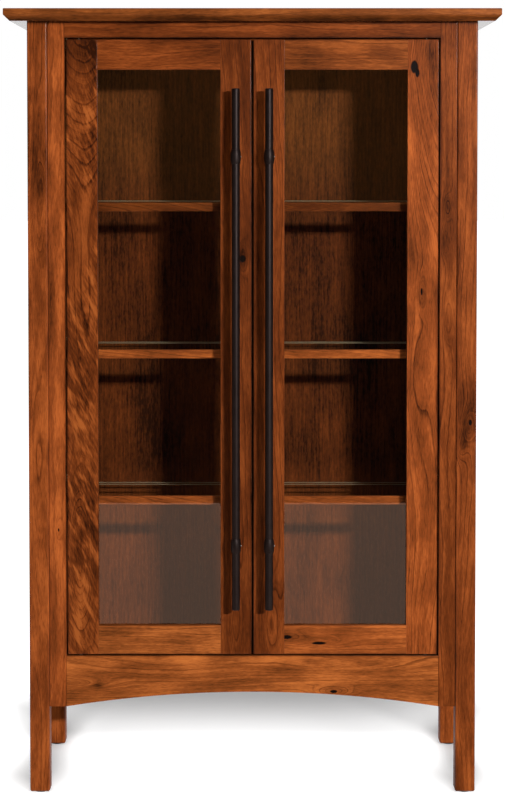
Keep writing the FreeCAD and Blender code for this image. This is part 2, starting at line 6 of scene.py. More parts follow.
import bmesh
import bpy
from bpy.props import FloatProperty, FloatVectorProperty, PointerProperty
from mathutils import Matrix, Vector


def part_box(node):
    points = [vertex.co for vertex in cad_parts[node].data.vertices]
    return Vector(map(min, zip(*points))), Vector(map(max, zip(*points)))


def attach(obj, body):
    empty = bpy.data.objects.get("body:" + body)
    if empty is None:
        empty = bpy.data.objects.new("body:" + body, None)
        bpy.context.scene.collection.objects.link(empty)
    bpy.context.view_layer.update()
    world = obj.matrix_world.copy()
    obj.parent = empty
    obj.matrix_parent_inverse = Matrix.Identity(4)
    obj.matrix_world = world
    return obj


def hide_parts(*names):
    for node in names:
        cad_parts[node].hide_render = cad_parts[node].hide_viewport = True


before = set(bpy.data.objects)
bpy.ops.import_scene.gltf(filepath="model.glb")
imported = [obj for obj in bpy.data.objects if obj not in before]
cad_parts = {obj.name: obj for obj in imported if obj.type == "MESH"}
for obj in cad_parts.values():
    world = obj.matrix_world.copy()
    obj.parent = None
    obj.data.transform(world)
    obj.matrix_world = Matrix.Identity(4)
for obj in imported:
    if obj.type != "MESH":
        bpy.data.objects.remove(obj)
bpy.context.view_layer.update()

bl_info = {
    "name": "Display cabinet",
    "version": (1, 0, 0),
    "blender": (4, 5, 0),
    "location": "3D View > Sidebar > Cabinet",
    "description": "Builds the boards, doors, pulls, shelves and stage of a cherry display cabinet",
    "category": "Object",
}

SIDES = {"left": -1, "right": 1}
SHELVES = ("lower", "middle", "upper")
AXES = "XYZ"

# Places on a board are along and across it, in metres, in the frame of the cabinet.
# A figure bends the growth rings round its place, a knot is a dark core and a patch is lighter or darker:
# some patches follow the wood's own figure, others are painted light and shade.
Figure = namedtuple("Figure", "along across length width rings")
Knot = namedtuple("Knot", "along across length width")
Patch = namedtuple("Patch", "along across length width amount")


def upright_gap_shade(across, width=0.0032, amount=-0.4):
    """A dark line up a board along a gap: painted shade in the gap."""
    return Patch(0.96, across, 5.0, width, amount)


def level_painted_shade(across, width=0.003, amount=-0.4):
    """A dark line along a level board: painted shade beside a gap, and painted shadow under the top."""
    return Patch(0.0, across, 3.0, width, amount)


def head_painted_shadow(across):
    """A dark line across the head of an upright board: painted shadow under the top."""
    return Patch(1.650, across, 0.005, 0.2, -0.4)


class Grain(NamedTuple):
    """How a board's grain lies: the axis of its length, the axis across its show face, and its figure."""

    run: str
    face: str
    tone: float
    seed: float
    rings: float = 80.0
    slope: float = 0.0
    lines: float = 1.0
    feather: float = 0.0
    gold: float = 0.0
    cloud: float = 1.0
    figures: tuple = ()
    knots: tuple = ()
    patches: tuple = ()


# Each board's tone was set from how bright the board shows, so it holds the board's own colour and also
# painted light and shade: the door bottom rails and apron lighter, the door top rails darker, the upper shelf
# nosing darker than the two below. The dark lines along the gaps and under the top are painted shade and
# shadow.
GRAINS = {
    # The top's gold is partly painted sheen that greys its front, and the dark line over its undercut is
    # painted shade on the face that looks down.
    "top_panel": Grain("X", "Z", 0.74, 3.1, rings=70.0, gold=0.20, cloud=0.8,
        patches=(level_painted_shade(1.652, 0.009, -0.31),)),
    # On this leg the patch high up darkens it, and the long patch low down and the one at the foot lighten
    # it: painted shade towards the top and painted light towards the foot.
    "front_left_leg": Grain("Z", "X", 0.77, 5.7, rings=95.0,
        figures=(Figure(1.418, -0.455, 0.085, 0.011, 3.0), Figure(1.305, -0.446, 0.05, 0.012, 3.0),
            Figure(1.238, -0.455, 0.1, 0.014, 5.0), Figure(0.69, -0.463, 0.25, 0.02, 3.0)),
        patches=(Patch(1.5, -0.468, 0.02, 0.012, -0.2), Patch(1.294, -0.451, 0.03, 0.01, -0.28),
            Patch(1.418, -0.455, 0.15, 0.05, -0.2), Patch(0.498, -0.455, 0.4, 0.05, 0.1),
            Patch(0.04, -0.456, 0.12, 0.2, 0.12),
            head_painted_shadow(-0.456))),
    "front_right_leg": Grain("Z", "X", 0.68, 8.3, rings=105.0,
        figures=(Figure(0.789, 0.46, 0.035, 0.012, 5.0), Figure(0.75, 0.443, 0.03, 0.012, 3.0),
            Figure(0.219, 0.452, 0.16, 0.03, 2.0)),
        knots=(Knot(0.799, 0.464, 0.007, 0.004),),
        patches=(Patch(0.84, 0.46, 0.06, 0.02, -0.25), Patch(0.761, 0.447, 0.02, 0.012, -0.2),
            Patch(0.754, 0.469, 0.02, 0.01, 0.2), Patch(1.525, 0.456, 0.12, 0.05, 0.08),
            head_painted_shadow(0.456))),
    # The patches at the feet of the rear legs lighten them: painted light on feet that the apron keeps from
    # the key lamp.
    "rear_left_leg": Grain("Z", "X", 0.9, 11.9,
        patches=(Patch(0.06, -0.456, 0.13, 0.2, 0.17),)),
    "rear_right_leg": Grain("Z", "X", 0.9, 14.2,
        patches=(Patch(0.06, 0.456, 0.13, 0.2, 0.12),)),
    "left_face_stile": Grain("Z", "X", 0.95, 17.4, rings=45.0, lines=0.6,
        figures=(Figure(0.568, -0.414, 0.02, 0.006, 1.5),),
        knots=(Knot(0.568, -0.414, 0.004, 0.0015),),
        patches=(Patch(0.797, -0.412, 0.28, 0.01, 0.14), Patch(1.054, -0.429, 0.05, 0.008, -0.2),
            Patch(1.461, -0.416, 0.1, 0.03, -0.08), head_painted_shadow(-0.416),
            upright_gap_shade(-0.3965))),
    "right_face_stile": Grain("Z", "X", 0.58, 20.6, rings=70.0,
        figures=(Figure(1.258, 0.413, 0.03, 0.01, 2.5), Figure(1.183, 0.409, 0.03, 0.008, 2.0),
            Figure(1.022, 0.415, 0.05, 0.01, 2.5)),
        patches=(Patch(1.258, 0.413, 0.02, 0.008, -0.3), Patch(1.187, 0.411, 0.02, 0.008, -0.25),
            Patch(1.011, 0.415, 0.03, 0.008, -0.2), head_painted_shadow(0.416),
            upright_gap_shade(0.3965))),
    "face_top_rail": Grain("X", "Z", 0.56, 23.8, rings=80.0,
        patches=(level_painted_shade(1.650, 0.004), level_painted_shade(1.6145))),
    "arched_apron": Grain("X", "Z", 1.02, 26.1, rings=75.0, gold=0.15,
        figures=(Figure(-0.399, 0.236, 0.075, 0.013, 5.0), Figure(0.174, 0.219, 0.04, 0.012, 4.0),
            Figure(0.219, 0.275, 0.16, 0.02, 2.5), Figure(-0.113, 0.284, 0.25, 0.03, 2.0)),
        knots=(Knot(0.174, 0.219, 0.009, 0.004),),
        patches=(Patch(-0.331, 0.232, 0.012, 0.006, -0.35), Patch(0.174, 0.224, 0.03, 0.012, -0.2),
            Patch(0.219, 0.273, 0.05, 0.012, 0.2), level_painted_shade(0.2985))),
    "left_door_hinge_stile": Grain("Z", "X", 0.51, 29.5, rings=8.0, lines=1.3, feather=1.7,
        figures=(Figure(1.654, -0.363, 0.25, 0.12, 15.0), Figure(0.523, -0.369, 0.125, 0.024, 9.5),
            Figure(1.054, -0.356, 0.25, 0.03, 2.5)),
        patches=(Patch(1.594, -0.363, 0.045, 0.06, -0.34), Patch(0.412, -0.369, 0.055, 0.007, 0.34),
            Patch(0.647, -0.363, 0.1, 0.05, -0.22), Patch(1.461, -0.339, 0.12, 0.01, -0.2),
            Patch(0.498, -0.339, 0.12, 0.012, -0.16), Patch(1.279, -0.352, 0.06, 0.012, 0.15),
            Patch(1.42, -0.363, 0.25, 0.06, 0.07),
            upright_gap_shade(-0.3965))),
    "left_door_meeting_stile": Grain("Z", "X", 0.45, 32.7, rings=80.0, slope=0.03,
        figures=(Figure(1.148, -0.021, 0.03, 0.01, 4.0), Figure(0.365, -0.038, 0.09, 0.016, 4.0)),
        knots=(Knot(1.148, -0.021, 0.009, 0.008),),
        patches=(Patch(1.148, -0.021, 0.022, 0.01, -0.22), upright_gap_shade(-0.001, 0.0036, -0.35))),
    "left_door_top_rail": Grain("X", "Z", 0.58, 35.3, rings=85.0,
        patches=(level_painted_shade(1.6145),)),
    "left_door_bottom_rail": Grain("X", "Z", 1.08, 38.9, rings=100.0, gold=0.17,
        patches=(level_painted_shade(0.2985),)),
    "right_door_hinge_stile": Grain("Z", "X", 0.92, 41.2, rings=85.0, lines=1.1,
        figures=(Figure(1.611, 0.4, 0.3, 0.09, 14.0), Figure(1.555, 0.343, 0.035, 0.016, 1.5),
            Figure(1.078, 0.36, 0.04, 0.01, 3.0), Figure(0.883, 0.347, 0.16, 0.03, 3.0)),
        knots=(Knot(1.555, 0.343, 0.016, 0.0085), Knot(1.542, 0.349, 0.01, 0.005),
            Knot(1.078, 0.36, 0.009, 0.0025)),
        patches=(Patch(1.568, 0.381, 0.1, 0.014, -0.34), Patch(1.071, 0.36, 0.022, 0.008, -0.2),
            Patch(0.862, 0.358, 0.1, 0.05, -0.14), Patch(1.418, 0.336, 0.07, 0.012, 0.12),
            upright_gap_shade(0.3965))),
    "right_door_meeting_stile": Grain("Z", "X", 0.55, 44.6, rings=80.0, slope=0.02,
        figures=(Figure(0.365, 0.037, 0.09, 0.018, 4.0),),
        patches=(upright_gap_shade(0.001, 0.0036, -0.35),)),
    "right_door_top_rail": Grain("X", "Z", 0.68, 47.4, rings=85.0, gold=0.09,
        patches=(level_painted_shade(1.6145),)),
    "right_door_bottom_rail": Grain("X", "Z", 1.04, 50.8, rings=85.0, gold=0.08,
        figures=(Figure(0.075, 0.337, 0.035, 0.01, 3.5), Figure(0.144, 0.326, 0.05, 0.012, 2.5)),
        knots=(Knot(0.073, 0.337, 0.012, 0.0045), Knot(0.142, 0.324, 0.018, 0.0035)),
        patches=(Patch(0.101, 0.335, 0.06, 0.012, -0.22), level_painted_shade(0.2985))),
    "lower_shelf_nosing": Grain("X", "Z", 1.05, 53.1, rings=110.0, slope=0.12),
    "middle_shelf_nosing": Grain("X", "Z", 1.1, 56.3, rings=110.0, slope=0.12),
    "upper_shelf_nosing": Grain("X", "Z", 0.38, 59.7, rings=110.0, slope=0.12),
    "left_side_top_rail": Grain("Y", "Z", 0.85, 62.4, cloud=0.6),
    "right_side_top_rail": Grain("Y", "Z", 0.85, 65.5, cloud=0.6),
    "left_side_bottom_rail": Grain("Y", "Z", 0.9, 68.2, cloud=0.6),
    "right_side_bottom_rail": Grain("Y", "Z", 0.9, 71.3, cloud=0.6),
    "left_side_panel": Grain("Z", "Y", 0.8, 74.9, rings=40.0, cloud=0.45,
        figures=(Figure(0.6, 0.02, 0.55, 0.06, 9.0), Figure(1.4, 0.06, 0.35, 0.05, 6.0))),
    "right_side_panel": Grain("Z", "Y", 0.8, 77.6, rings=40.0, cloud=0.45,
        figures=(Figure(1.15, 0.03, 0.55, 0.06, 9.0), Figure(0.35, -0.03, 0.35, 0.05, 6.0))),
    "back_top_rail": Grain("X", "Z", 0.7, 80.1),
    "back_bottom_rail": Grain("X", "Z", 0.7, 83.3),
    "bottom_deck": Grain("X", "Y", 0.6, 86.7, cloud=0.6),
    "door_stop_rail": Grain("X", "Z", 0.6, 89.2),
    "shelf_strips": Grain("Z", "Y", 0.6, 92.5),
    "left_door_glass_stops": Grain("Z", "X", 0.65, 95.8),
    "right_door_glass_stops": Grain("Z", "X", 0.65, 98.4),
}


# How close to an axis a face's normal is where the board is flat, and the area that a rounding stays under.
FLAT_NORMAL = 0.985
ROUNDING_AREA = 0.004

# How far the plate grooves lie from the back edge of a shelf's glass.
GROOVE_INSETS = (0.048, 0.088)

KNOT_CORE = (0.005, 0.0025, 0.0018, 1.0)
STEEL = ((0.42, 0.42, 0.43), (0.58, 0.58, 0.59))

# The rays that the white of the stage is shown to.
SEEN_RAYS = ("Is Camera Ray", "Is Glossy Ray", "Is Transmission Ray")


def colour_setting(name, description, default):
    """A property for a colour."""
    return FloatVectorProperty(name=name, description=description, subtype="COLOR", default=default,
                               min=0.0, max=1.0)


def factor_setting(name, description, default):
    """A property from 0 to 1."""
    return FloatProperty(name=name, description=description, subtype="FACTOR", default=default,
                         min=0.0, max=1.0)


def length_setting(name, description, default, least=0.0):
    """A property for a length in metres."""
    return FloatProperty(name=name, description=description, unit="LENGTH", default=default, min=least)


def place_setting(name, description, default):
    """A property for a place in the scene."""
    return FloatVectorProperty(name=name, description=description, subtype="TRANSLATION", unit="LENGTH",
                               default=default)


class CherryFinish(bpy.types.PropertyGroup):
    """The stained and lacquered cherry of the case and doors."""

    dark: colour_setting("Dark", "Late rings and knots", (0.040, 0.0092, 0.0023))
    middle: colour_setting("Middle", "Most of the wood", (0.215, 0.0470, 0.0096))
    light: colour_setting("Light", "Pale early rings", (0.390, 0.0925, 0.0187))
    bright: colour_setting("Bright", "Curled figure at its brightest", (0.560, 0.1470, 0.0300))
    roughness: factor_setting("Roughness", "Mean roughness of the lacquer", 0.40)


class GlassFinish(bpy.types.PropertyGroup):
    """The clear glass of doors and shelves."""

    tint: colour_setting("Tint", "Colour of light that passes", (0.97, 0.99, 0.97))
    index: FloatProperty(name="Index", description="Index of refraction", default=1.5, min=1.0, max=2.0)


class BronzeFinish(bpy.types.PropertyGroup):
    """The oil-rubbed dark bronze of the pulls."""

    body: colour_setting("Body", "Dark patina", (0.0040, 0.0026, 0.0025))
    rubbed: colour_setting("Rubbed", "Where the patina is rubbed thin", (0.0085, 0.0055, 0.0052))
    roughness: factor_setting("Roughness", "Mean roughness", 0.45)


class MakingSizes(bpy.types.PropertyGroup):
    """Roundings and other small sizes that the boards and pulls are finished to."""

    board_round: length_setting("Board round", "Easing of the boards' edges", 0.001)
    joint_round: length_setting("Joint round", "Easing where boards meet flush", 0.0003)
    door_round: length_setting("Door round", "Rounding of the doors' outer edges", 0.002)
    leg_round: length_setting("Leg round", "Rounding of the legs", 0.003)
    foot_chamfer: length_setting("Foot chamfer", "Chamfer under the legs", 0.0025)
    top_undercut: length_setting("Top undercut", "Chamfer under the top's edges", 0.0125)
    top_round: length_setting("Top round", "Rounding of the top's upper edges", 0.002)
    arch_rise: length_setting("Arch rise", "Height of the arch under the apron", 0.0315)
    rebate: length_setting("Rebate", "Width of the rebate for the door glass", 0.009)
    glass_clearance: length_setting("Glass clearance", "Room round the door glass", 0.001)
    groove_radius: length_setting("Groove radius", "Radius of the plate grooves", 0.006)
    groove_depth: length_setting("Groove depth", "Depth of the plate grooves", 0.0015)
    glass_edge: length_setting("Glass edge", "Polished chamfer of the glass edges", 0.0006)
    bar_radius: length_setting("Bar radius", "Radius of the pull bars", 0.0085, 0.001)
    bar_end_round: length_setting("Bar end round", "Rounding of the bar ends", 0.002)
    collar_length: length_setting("Collar length", "Length of the barrel collars", 0.030, 0.001)
    collar_wall: length_setting("Collar wall", "Wall of a collar at its ends", 0.0008)
    collar_crown: length_setting("Collar crown", "How far a collar swells at its middle", 0.0016)
    grub_radius: length_setting("Grub radius", "Radius of the grub screws in the collars", 0.0016, 0.0002)
    grub_stand: length_setting("Grub stand", "How far the grub screws stand out", 0.0007)
    strip_room: length_setting("Strip room", "Room between the dust strip and the other door", 0.0006)
    strip_inset: length_setting("Strip inset", "How far the dust strip lies behind the doors' faces", 0.007)
    strip_depth: length_setting("Strip depth", "Depth of the dust strip from front to back", 0.006, 0.001)
    post_radius: length_setting("Post radius", "Radius of the pull posts", 0.006, 0.001)
    post_base_radius: length_setting("Post base radius", "Radius of the flange on the door", 0.009, 0.001)
    post_base_height: length_setting("Post base height", "Height of the flange on the door", 0.003)


class StageSettings(bpy.types.PropertyGroup):
    """Camera, lamps and floor."""

    camera_place: place_setting("Camera", "Where the camera stands", (0.0001, -4.686, 1.368))
    lens: FloatProperty(name="Lens", description="Focal length in millimetres", default=95.6, min=1.0)
    pitch: FloatProperty(name="Pitch", description="How far the camera looks down", subtype="ANGLE",
                         default=math.radians(2.5))
    shift: FloatProperty(name="Shift", description="Vertical shift of the lens", default=-0.19)
    key_place: place_setting("Key lamp", "Where the main lamp hangs", (1.68, -4.70, 1.98))
    key_size: length_setting("Key size", "Width of the main lamp's soft box", 0.5, 0.01)
    key_power: FloatProperty(name="Key power", description="Watts of the main lamp", default=288.0, min=0.0)
    fill: FloatProperty(name="Fill", description="Brightness of the surrounding soft light", default=0.34,
                        min=0.0)
    floor: colour_setting("Floor", "Colour of the floor", (0.86, 0.86, 0.86))
    floor_glow: FloatProperty(name="Floor glow", description="How far the seen floor is lifted to white",
                              default=0.17, min=0.0)
    floor_power: FloatProperty(name="Floor power", default=600.0, min=0.0,
                               description="Watts of the lamp that lights the floor alone")


class CabinetSettings(bpy.types.PropertyGroup):
    """Everything that a user would change."""

    cherry: PointerProperty(type=CherryFinish)
    glass: PointerProperty(type=GlassFinish)
    bronze: PointerProperty(type=BronzeFinish)
    sizes: PointerProperty(type=MakingSizes)
    stage: PointerProperty(type=StageSettings)


class Shade:
    """A socket of a material that takes part in arithmetic; any other node comes from its node method."""

    def __init__(self, tree, socket=None):
        self.tree = tree
        self.socket = socket

    def node(self, kind, settings=None, inputs=None, output=0):
        """Adds a node: its settings first, then the values or links of its sockets."""
        made = self.tree.nodes.new(kind)
        for name, value in (settings or {}).items():
            if name == "stops":
                set_stops(made.color_ramp.elements, value)
            else:
                setattr(made, name, value)
        for name, value in (inputs or {}).items():
            if isinstance(value, Shade):
                self.tree.links.new(value.socket, made.inputs[name])
            else:
                made.inputs[name].default_value = value
        return Shade(self.tree, made.outputs[output] if made.outputs else None)

    def maths(self, operation, *values):
        """A Math node on values or sockets."""
        return self.node("ShaderNodeMath", {"operation": operation}, dict(enumerate(values)))

    def mix(self, other, factor, blend="MIX"):
        """This colour mixed with another one."""
        settings = {"data_type": "RGBA", "blend_type": blend}
        return self.node("ShaderNodeMix", settings, {"Factor": factor, 6: self, 7: other}, output=2)

    def between(self, low, high):
        """Runs smoothly from 0 at the low value to 1 at the high one."""
        settings = {"interpolation_type": "SMOOTHSTEP"}
        return self.node("ShaderNodeMapRange", settings, {"Value": self, "From Min": low, "From Max": high})

    def ramp(self, stops):
        """A colour ramp read at this value; each stop is a place and a colour."""
        return self.node("ShaderNodeValToRGB", {"stops": stops}, {"Fac": self})

    def bump(self, strength, depth):
        """A normal from this height."""
        return self.node("ShaderNodeBump", inputs={"Strength": strength, "Distance": depth, "Height": self})

    def __add__(self, other):
        return self.maths("ADD", self, other)

    __radd__ = __add__

    def __sub__(self, other):
        return self.maths("SUBTRACT", self, other)

    def __rsub__(self, other):
        return self.maths("SUBTRACT", other, self)

    def __mul__(self, other):
        return self.maths("MULTIPLY", self, other)

    __rmul__ = __mul__

    def __pow__(self, other):
        return self.maths("POWER", self, other)

    def __rpow__(self, other):
        return self.maths("POWER", other, self)


def set_stops(elements, stops):
    """Gives a ramp its stops, each a place and a colour."""
    while len(elements) < len(stops):
        elements.new(1.0)
    for element, (place, colour) in zip(elements, stops):
        element.position = place
        element.color = (*colour, 1.0)


def new_material(name):
    """An empty material, with a Shade to build its nodes from."""
    material = bpy.data.materials.new(name)
    material.use_nodes = True
    material.node_tree.nodes.clear()
    return material, Shade(material.node_tree)


def close_material(start, shader):
    """Links a shader to the material's output."""
    start.node("ShaderNodeOutputMaterial", inputs={"Surface": shader})


def surfaced(material, start, inputs):
    """The material, closed with a Principled surface of these inputs."""
    close_material(start, start.node("ShaderNodeBsdfPrincipled", inputs=inputs))
    return material


def ray_is(start, *kinds):
    """1 for rays of any of these kinds."""
    found = start.node("ShaderNodeLightPath", output=kinds[0])
    outputs = found.socket.node.outputs
    for kind in kinds[1:]:
        found = found.maths("MAXIMUM", found, Shade(start.tree, outputs[kind]))
    return found


def object_vector(start):
    """The Object coordinates as a vector."""
    return start.node("ShaderNodeTexCoord", output="Object")


def object_place(start):
    """The Object coordinates, as a vector and as a table of X, Y and Z."""
    vector = object_vector(start)
    parts = {axis: start.node("ShaderNodeSeparateXYZ", inputs={0: vector}, output=axis) for axis in AXES}
    return vector, parts


def even_noise(vector, scale, detail):
    """Noise of one scale in every direction, per metre."""
    return vector.node("ShaderNodeTexNoise", inputs={"Vector": vector, "Scale": scale, "Detail": detail})


def stretched_noise(vector, run, along, cross, seed, detail=2.0):
    """Noise drawn out along the grain: its scale along the board and across it, per metre."""
    scale = [along if axis == run else cross for axis in AXES]
    mapped = vector.node("ShaderNodeMapping", inputs={
        "Vector": vector, "Location": (seed, seed * 1.7, seed * 2.3), "Scale": scale})
    return vector.node("ShaderNodeTexNoise", inputs={
        "Vector": mapped, "Scale": 1.0, "Detail": detail, "Roughness": 0.55})


def nearness(parts, lie, spot):
    """Fades from 1 at a figure or knot to 0 away from it."""
    along = (parts[lie.run] - spot.along) * (1.0 / spot.length)
    across = (parts[lie.face] - spot.across) * (1.0 / spot.width)
    return math.exp(-1.0) ** (along * along + across * across)


def toned(colour, tone, gold=0.0):
    """A colour made darker or lighter, and more golden; darker wood also turns a little redder."""
    red, green, blue = colour
    warm = 1.0 + gold
    return (red * tone, green * tone ** 1.05 * warm, blue * tone ** 1.1 * warm)


def scaled_noise(place, scale, detail):
    """Noise on a place given by ring and length, so that it follows the figure."""
    mapped = place.node("ShaderNodeMapping", inputs={"Vector": place, "Scale": scale})
    return place.node("ShaderNodeTexNoise", inputs={
        "Vector": mapped, "Scale": 1.0, "Detail": detail, "Roughness": 0.6})


def depth_axis(lie):
    """The axis through a board's thickness."""
    return (set(AXES) - {lie.run, lie.face}).pop()


def feathered(vector, lie):
    """Slanting flames of light and dark, as in feathered or curled wood."""
    turn = [0.0, 0.0, 0.0]
    turn[AXES.index(depth_axis(lie))] = math.radians(24.0)
    turned = vector.node("ShaderNodeMapping", inputs={"Vector": vector, "Rotation": turn})
    flame = stretched_noise(turned, lie.run, 16.0, 75.0, lie.seed + 2.1, detail=2.5)
    fine = stretched_noise(turned, lie.run, 45.0, 240.0, lie.seed + 2.4)
    where = stretched_noise(vector, lie.run, 4.5, 15.0, lie.seed + 2.7, detail=1.0)
    glint = flame.between(0.52, 0.72) * 0.30 + (flame - 0.5) * 0.35 + (fine - 0.5) * 0.55
    return glint * where.between(0.26, 0.46)


def cherry_material(name, lie, finish):
    """Stained cherry: growth rings bent round figures and knots, streaks that follow them, and pores."""
    material, start = new_material(name)
    vector, parts = object_place(start)
    flow = stretched_noise(vector, lie.run, 1.7, 9.0, lie.seed)
    waver = stretched_noise(vector, lie.run, 22.0, 70.0, lie.seed + 0.2)
    cloud = stretched_noise(vector, lie.run, 7.0, 24.0, lie.seed + 0.4, detail=3.0)
    pores = stretched_noise(vector, lie.run, 60.0, 620.0, lie.seed + 1.2, detail=1.0)
    fleck = stretched_noise(vector, lie.run, 70.0, 600.0, lie.seed + 1.7)

    ring = parts[lie.face] + parts[depth_axis(lie)] * 0.6 + parts[lie.run] * lie.slope
    ring = ring * lie.rings + flow * (1.5 + lie.rings * 0.05) + waver * 0.45
    for figure in lie.figures:
        ring = ring + nearness(parts, lie, figure) * figure.rings
    place = start.node("ShaderNodeCombineXYZ", inputs={0: ring, 1: parts[lie.run], 2: lie.seed})
    band = scaled_noise(place, (0.8, 2.5, 1.0), 1.0)
    streak = scaled_noise(place, (260.0 / (lie.rings + 12.0), 11.0, 1.0), 3.0)

    late = ring.maths("FRACT", ring)
    late = late.between(0.68, 0.94) * (1.0 - late).between(0.0, 0.06)
    late = late * (0.15 + band.between(0.38, 0.66)) * lie.lines
    open_pores = pores.between(0.60, 0.72)

    value = 0.46 + (cloud - 0.5) * lie.cloud + (band - 0.5) * 0.45 + (streak - 0.5) * 0.42 - late * 0.23
    value = value + (fleck - 0.5) * 0.52 - open_pores * 0.12
    for patch in lie.patches:
        value = value + nearness(parts, lie, patch) * patch.amount
    if lie.feather:
        value = value + feathered(vector, lie) * lie.feather
    shades = ((0.0, finish.dark), (0.42, finish.middle), (0.68, finish.light), (1.0, finish.bright))
    colour = value.ramp([(stop, toned(shade, lie.tone, lie.gold)) for stop, shade in shades])
    height = streak * 0.4 - late * 0.4 - open_pores * 0.6
    for knot in lie.knots:
        core = nearness(parts, lie, knot) + (streak - 0.5) * 0.3 + (waver - 0.5) * 0.4
        core = core.between(0.34, 0.60)
        colour = colour.mix(KNOT_CORE, core)
        height = height - core * 2.0
    arris = start.node("ShaderNodeAttribute", {"attribute_name": "arris"}, output="Fac")
    return surfaced(material, start, {
        "Base Color": colour, "Roughness": finish.roughness + (streak - 0.5) * 0.16,
        "Normal": height.bump(0.3, 0.0005), "Specular IOR Level": 0.012,
        "Coat Weight": 0.008 + arris * 0.16, "Coat Roughness": 0.22})


def veneer_material(finish):
    """The sliced veneer of the back: straight fine grain with broad soft bands, toned below the case's
    cherry, partly its own colour and partly painted shade inside the case; lighter near the top and at the
    bottom as painted light, and more olive near the top.
    """
    material, start = new_material("back_veneer")
    vector, parts = object_place(start)
    band = stretched_noise(vector, "Z", 1.2, 14.0, 4.4)
    fine = stretched_noise(vector, "Z", 9.0, 210.0, 9.9)
    speck = stretched_noise(vector, "Z", 90.0, 300.0, 7.3)
    mottle = stretched_noise(vector, "Z", 6.0, 11.0, 2.2, detail=3.0)
    # Painted light: the upper and lowest parts of the back are made lighter; the upper part also turns more
    # olive.
    upper = parts["Z"].between(1.22, 1.40)
    lower = (0.70 - parts["Z"]).between(0.0, 0.1)
    value = 0.23 + (band - 0.5) * 0.5 + (fine - 0.5) * 0.85
    value = value + (speck - 0.5) * 0.70 + (mottle - 0.5) * 0.7
    value = value + upper * 0.14 + lower * 0.18
    plain = value.ramp([(0.0, toned(finish.dark, 0.5)), (0.5, toned(finish.middle, 0.55)),
                        (1.0, toned(finish.light, 0.6))])
    olive = value.ramp([(0.0, toned(finish.dark, 0.6, 0.3)), (0.5, toned(finish.middle, 0.58, 0.22)),
                        (1.0, toned(finish.light, 0.58, 0.20))])
    return surfaced(material, start, {
        "Base Color": plain.mix(olive, upper), "Roughness": 0.5 + (fine - 0.5) * 0.15,
        "Normal": fine.bump(0.25, 0.0004), "Specular IOR Level": 0.02})


def plain_wood_material():
    """Unfinished hardwood of the hidden cleats and blocks."""
    material, start = new_material("plain_hardwood")
    vector = object_vector(start)
    fine = stretched_noise(vector, "X", 9.0, 240.0, 6.6, detail=3.0)
    soft = stretched_noise(vector, "X", 4.0, 20.0, 1.6)
    value = 0.5 + (fine - 0.5) * 0.8 + (soft - 0.5) * 0.6
    colour = value.ramp([(0.0, (0.26, 0.15, 0.075)), (0.5, (0.42, 0.27, 0.14)), (1.0, (0.56, 0.40, 0.23))])
    return surfaced(material, start, {
        "Base Color": colour, "Roughness": 0.62 + (fine - 0.5) * 0.2, "Normal": fine.bump(0.3, 0.0004)})


def glass_material(finish):
    """Clear float glass; lamps and soft light pass straight through it to what stands behind."""
    material, start = new_material("clear_glass")
    tint = (*finish.tint, 1.0)
    glass = start.node("ShaderNodeBsdfPrincipled", inputs={
        "Base Color": tint, "Roughness": 0.0, "IOR": finish.index,
        "Transmission Weight": 1.0, "Coat Weight": 1.0, "Coat Roughness": 0.0})
    clear = start.node("ShaderNodeBsdfTransparent", inputs={"Color": tint})
    passes = ray_is(start, "Is Shadow Ray", "Is Diffuse Ray", "Is Glossy Ray")
    close_material(start, start.node("ShaderNodeMixShader", inputs={0: passes, 1: glass, 2: clear}))
    return material


def ground_glass_material():
    """The ground faces of the plate grooves, which scatter light."""
    material, start = new_material("ground_glass")
    grit = even_noise(object_vector(start), 900.0, 2.0)
    colour = grit.ramp([(0.0, (0.22, 0.16, 0.10)), (1.0, (0.34, 0.25, 0.16))])
    return surfaced(material, start, {"Base Color": colour, "Roughness": 0.5 + (grit - 0.5) * 0.3})


def bronze_material(finish):
    """Oil-rubbed bronze: a dark patina with rubbed mottling."""
    material, start = new_material("dark_bronze")
    vector = object_vector(start)
    mottle = even_noise(vector, 70.0, 4.0)
    grit = even_noise(vector, 1300.0, 2.0)
    return surfaced(material, start, {
        "Base Color": mottle.ramp([(0.35, finish.body), (0.85, finish.rubbed)]), "Metallic": 0.1,
        "Roughness": finish.roughness + (mottle - 0.5) * 0.2, "Normal": grit.bump(0.2, 0.0002),
        "Specular IOR Level": 0.18, "Specular Tint": (1.0, 0.78, 0.74, 1.0)})


def metal_material(name, low, high, roughness):
    """Bright metal of the small fittings, with fine turning marks."""
    material, start = new_material(name)
    fine = even_noise(object_vector(start), 900.0, 3.0)
    return surfaced(material, start, {
        "Base Color": fine.ramp([(0.3, low), (0.7, high)]), "Metallic": 1.0,
        "Roughness": roughness + (fine - 0.5) * 0.2})


def plastic_material(name, low, high, gloss=0.5):
    """Moulded plastic with a fine grain; with little gloss it serves for felt too."""
    material, start = new_material(name)
    fine = even_noise(object_vector(start), 700.0, 2.0)
    return surfaced(material, start, {
        "Base Color": fine.ramp([(0.3, low), (0.7, high)]), "Roughness": 0.5 + (fine - 0.5) * 0.2,
        "Normal": fine.bump(0.2, 0.0002), "Specular IOR Level": gloss})


def settings():
    """The cabinet's settings in this scene."""
    return bpy.context.scene.cabinet


def start_alone():
    """Leaves edit mode and deselects everything."""
    if bpy.context.object and bpy.context.object.mode != "OBJECT":
        bpy.ops.object.mode_set(mode="OBJECT")
    bpy.ops.object.select_all(action="DESELECT")


def pick(piece):
    """Makes one object the only selected one."""
    start_alone()
    piece.select_set(True)
    bpy.context.view_layer.objects.active = piece


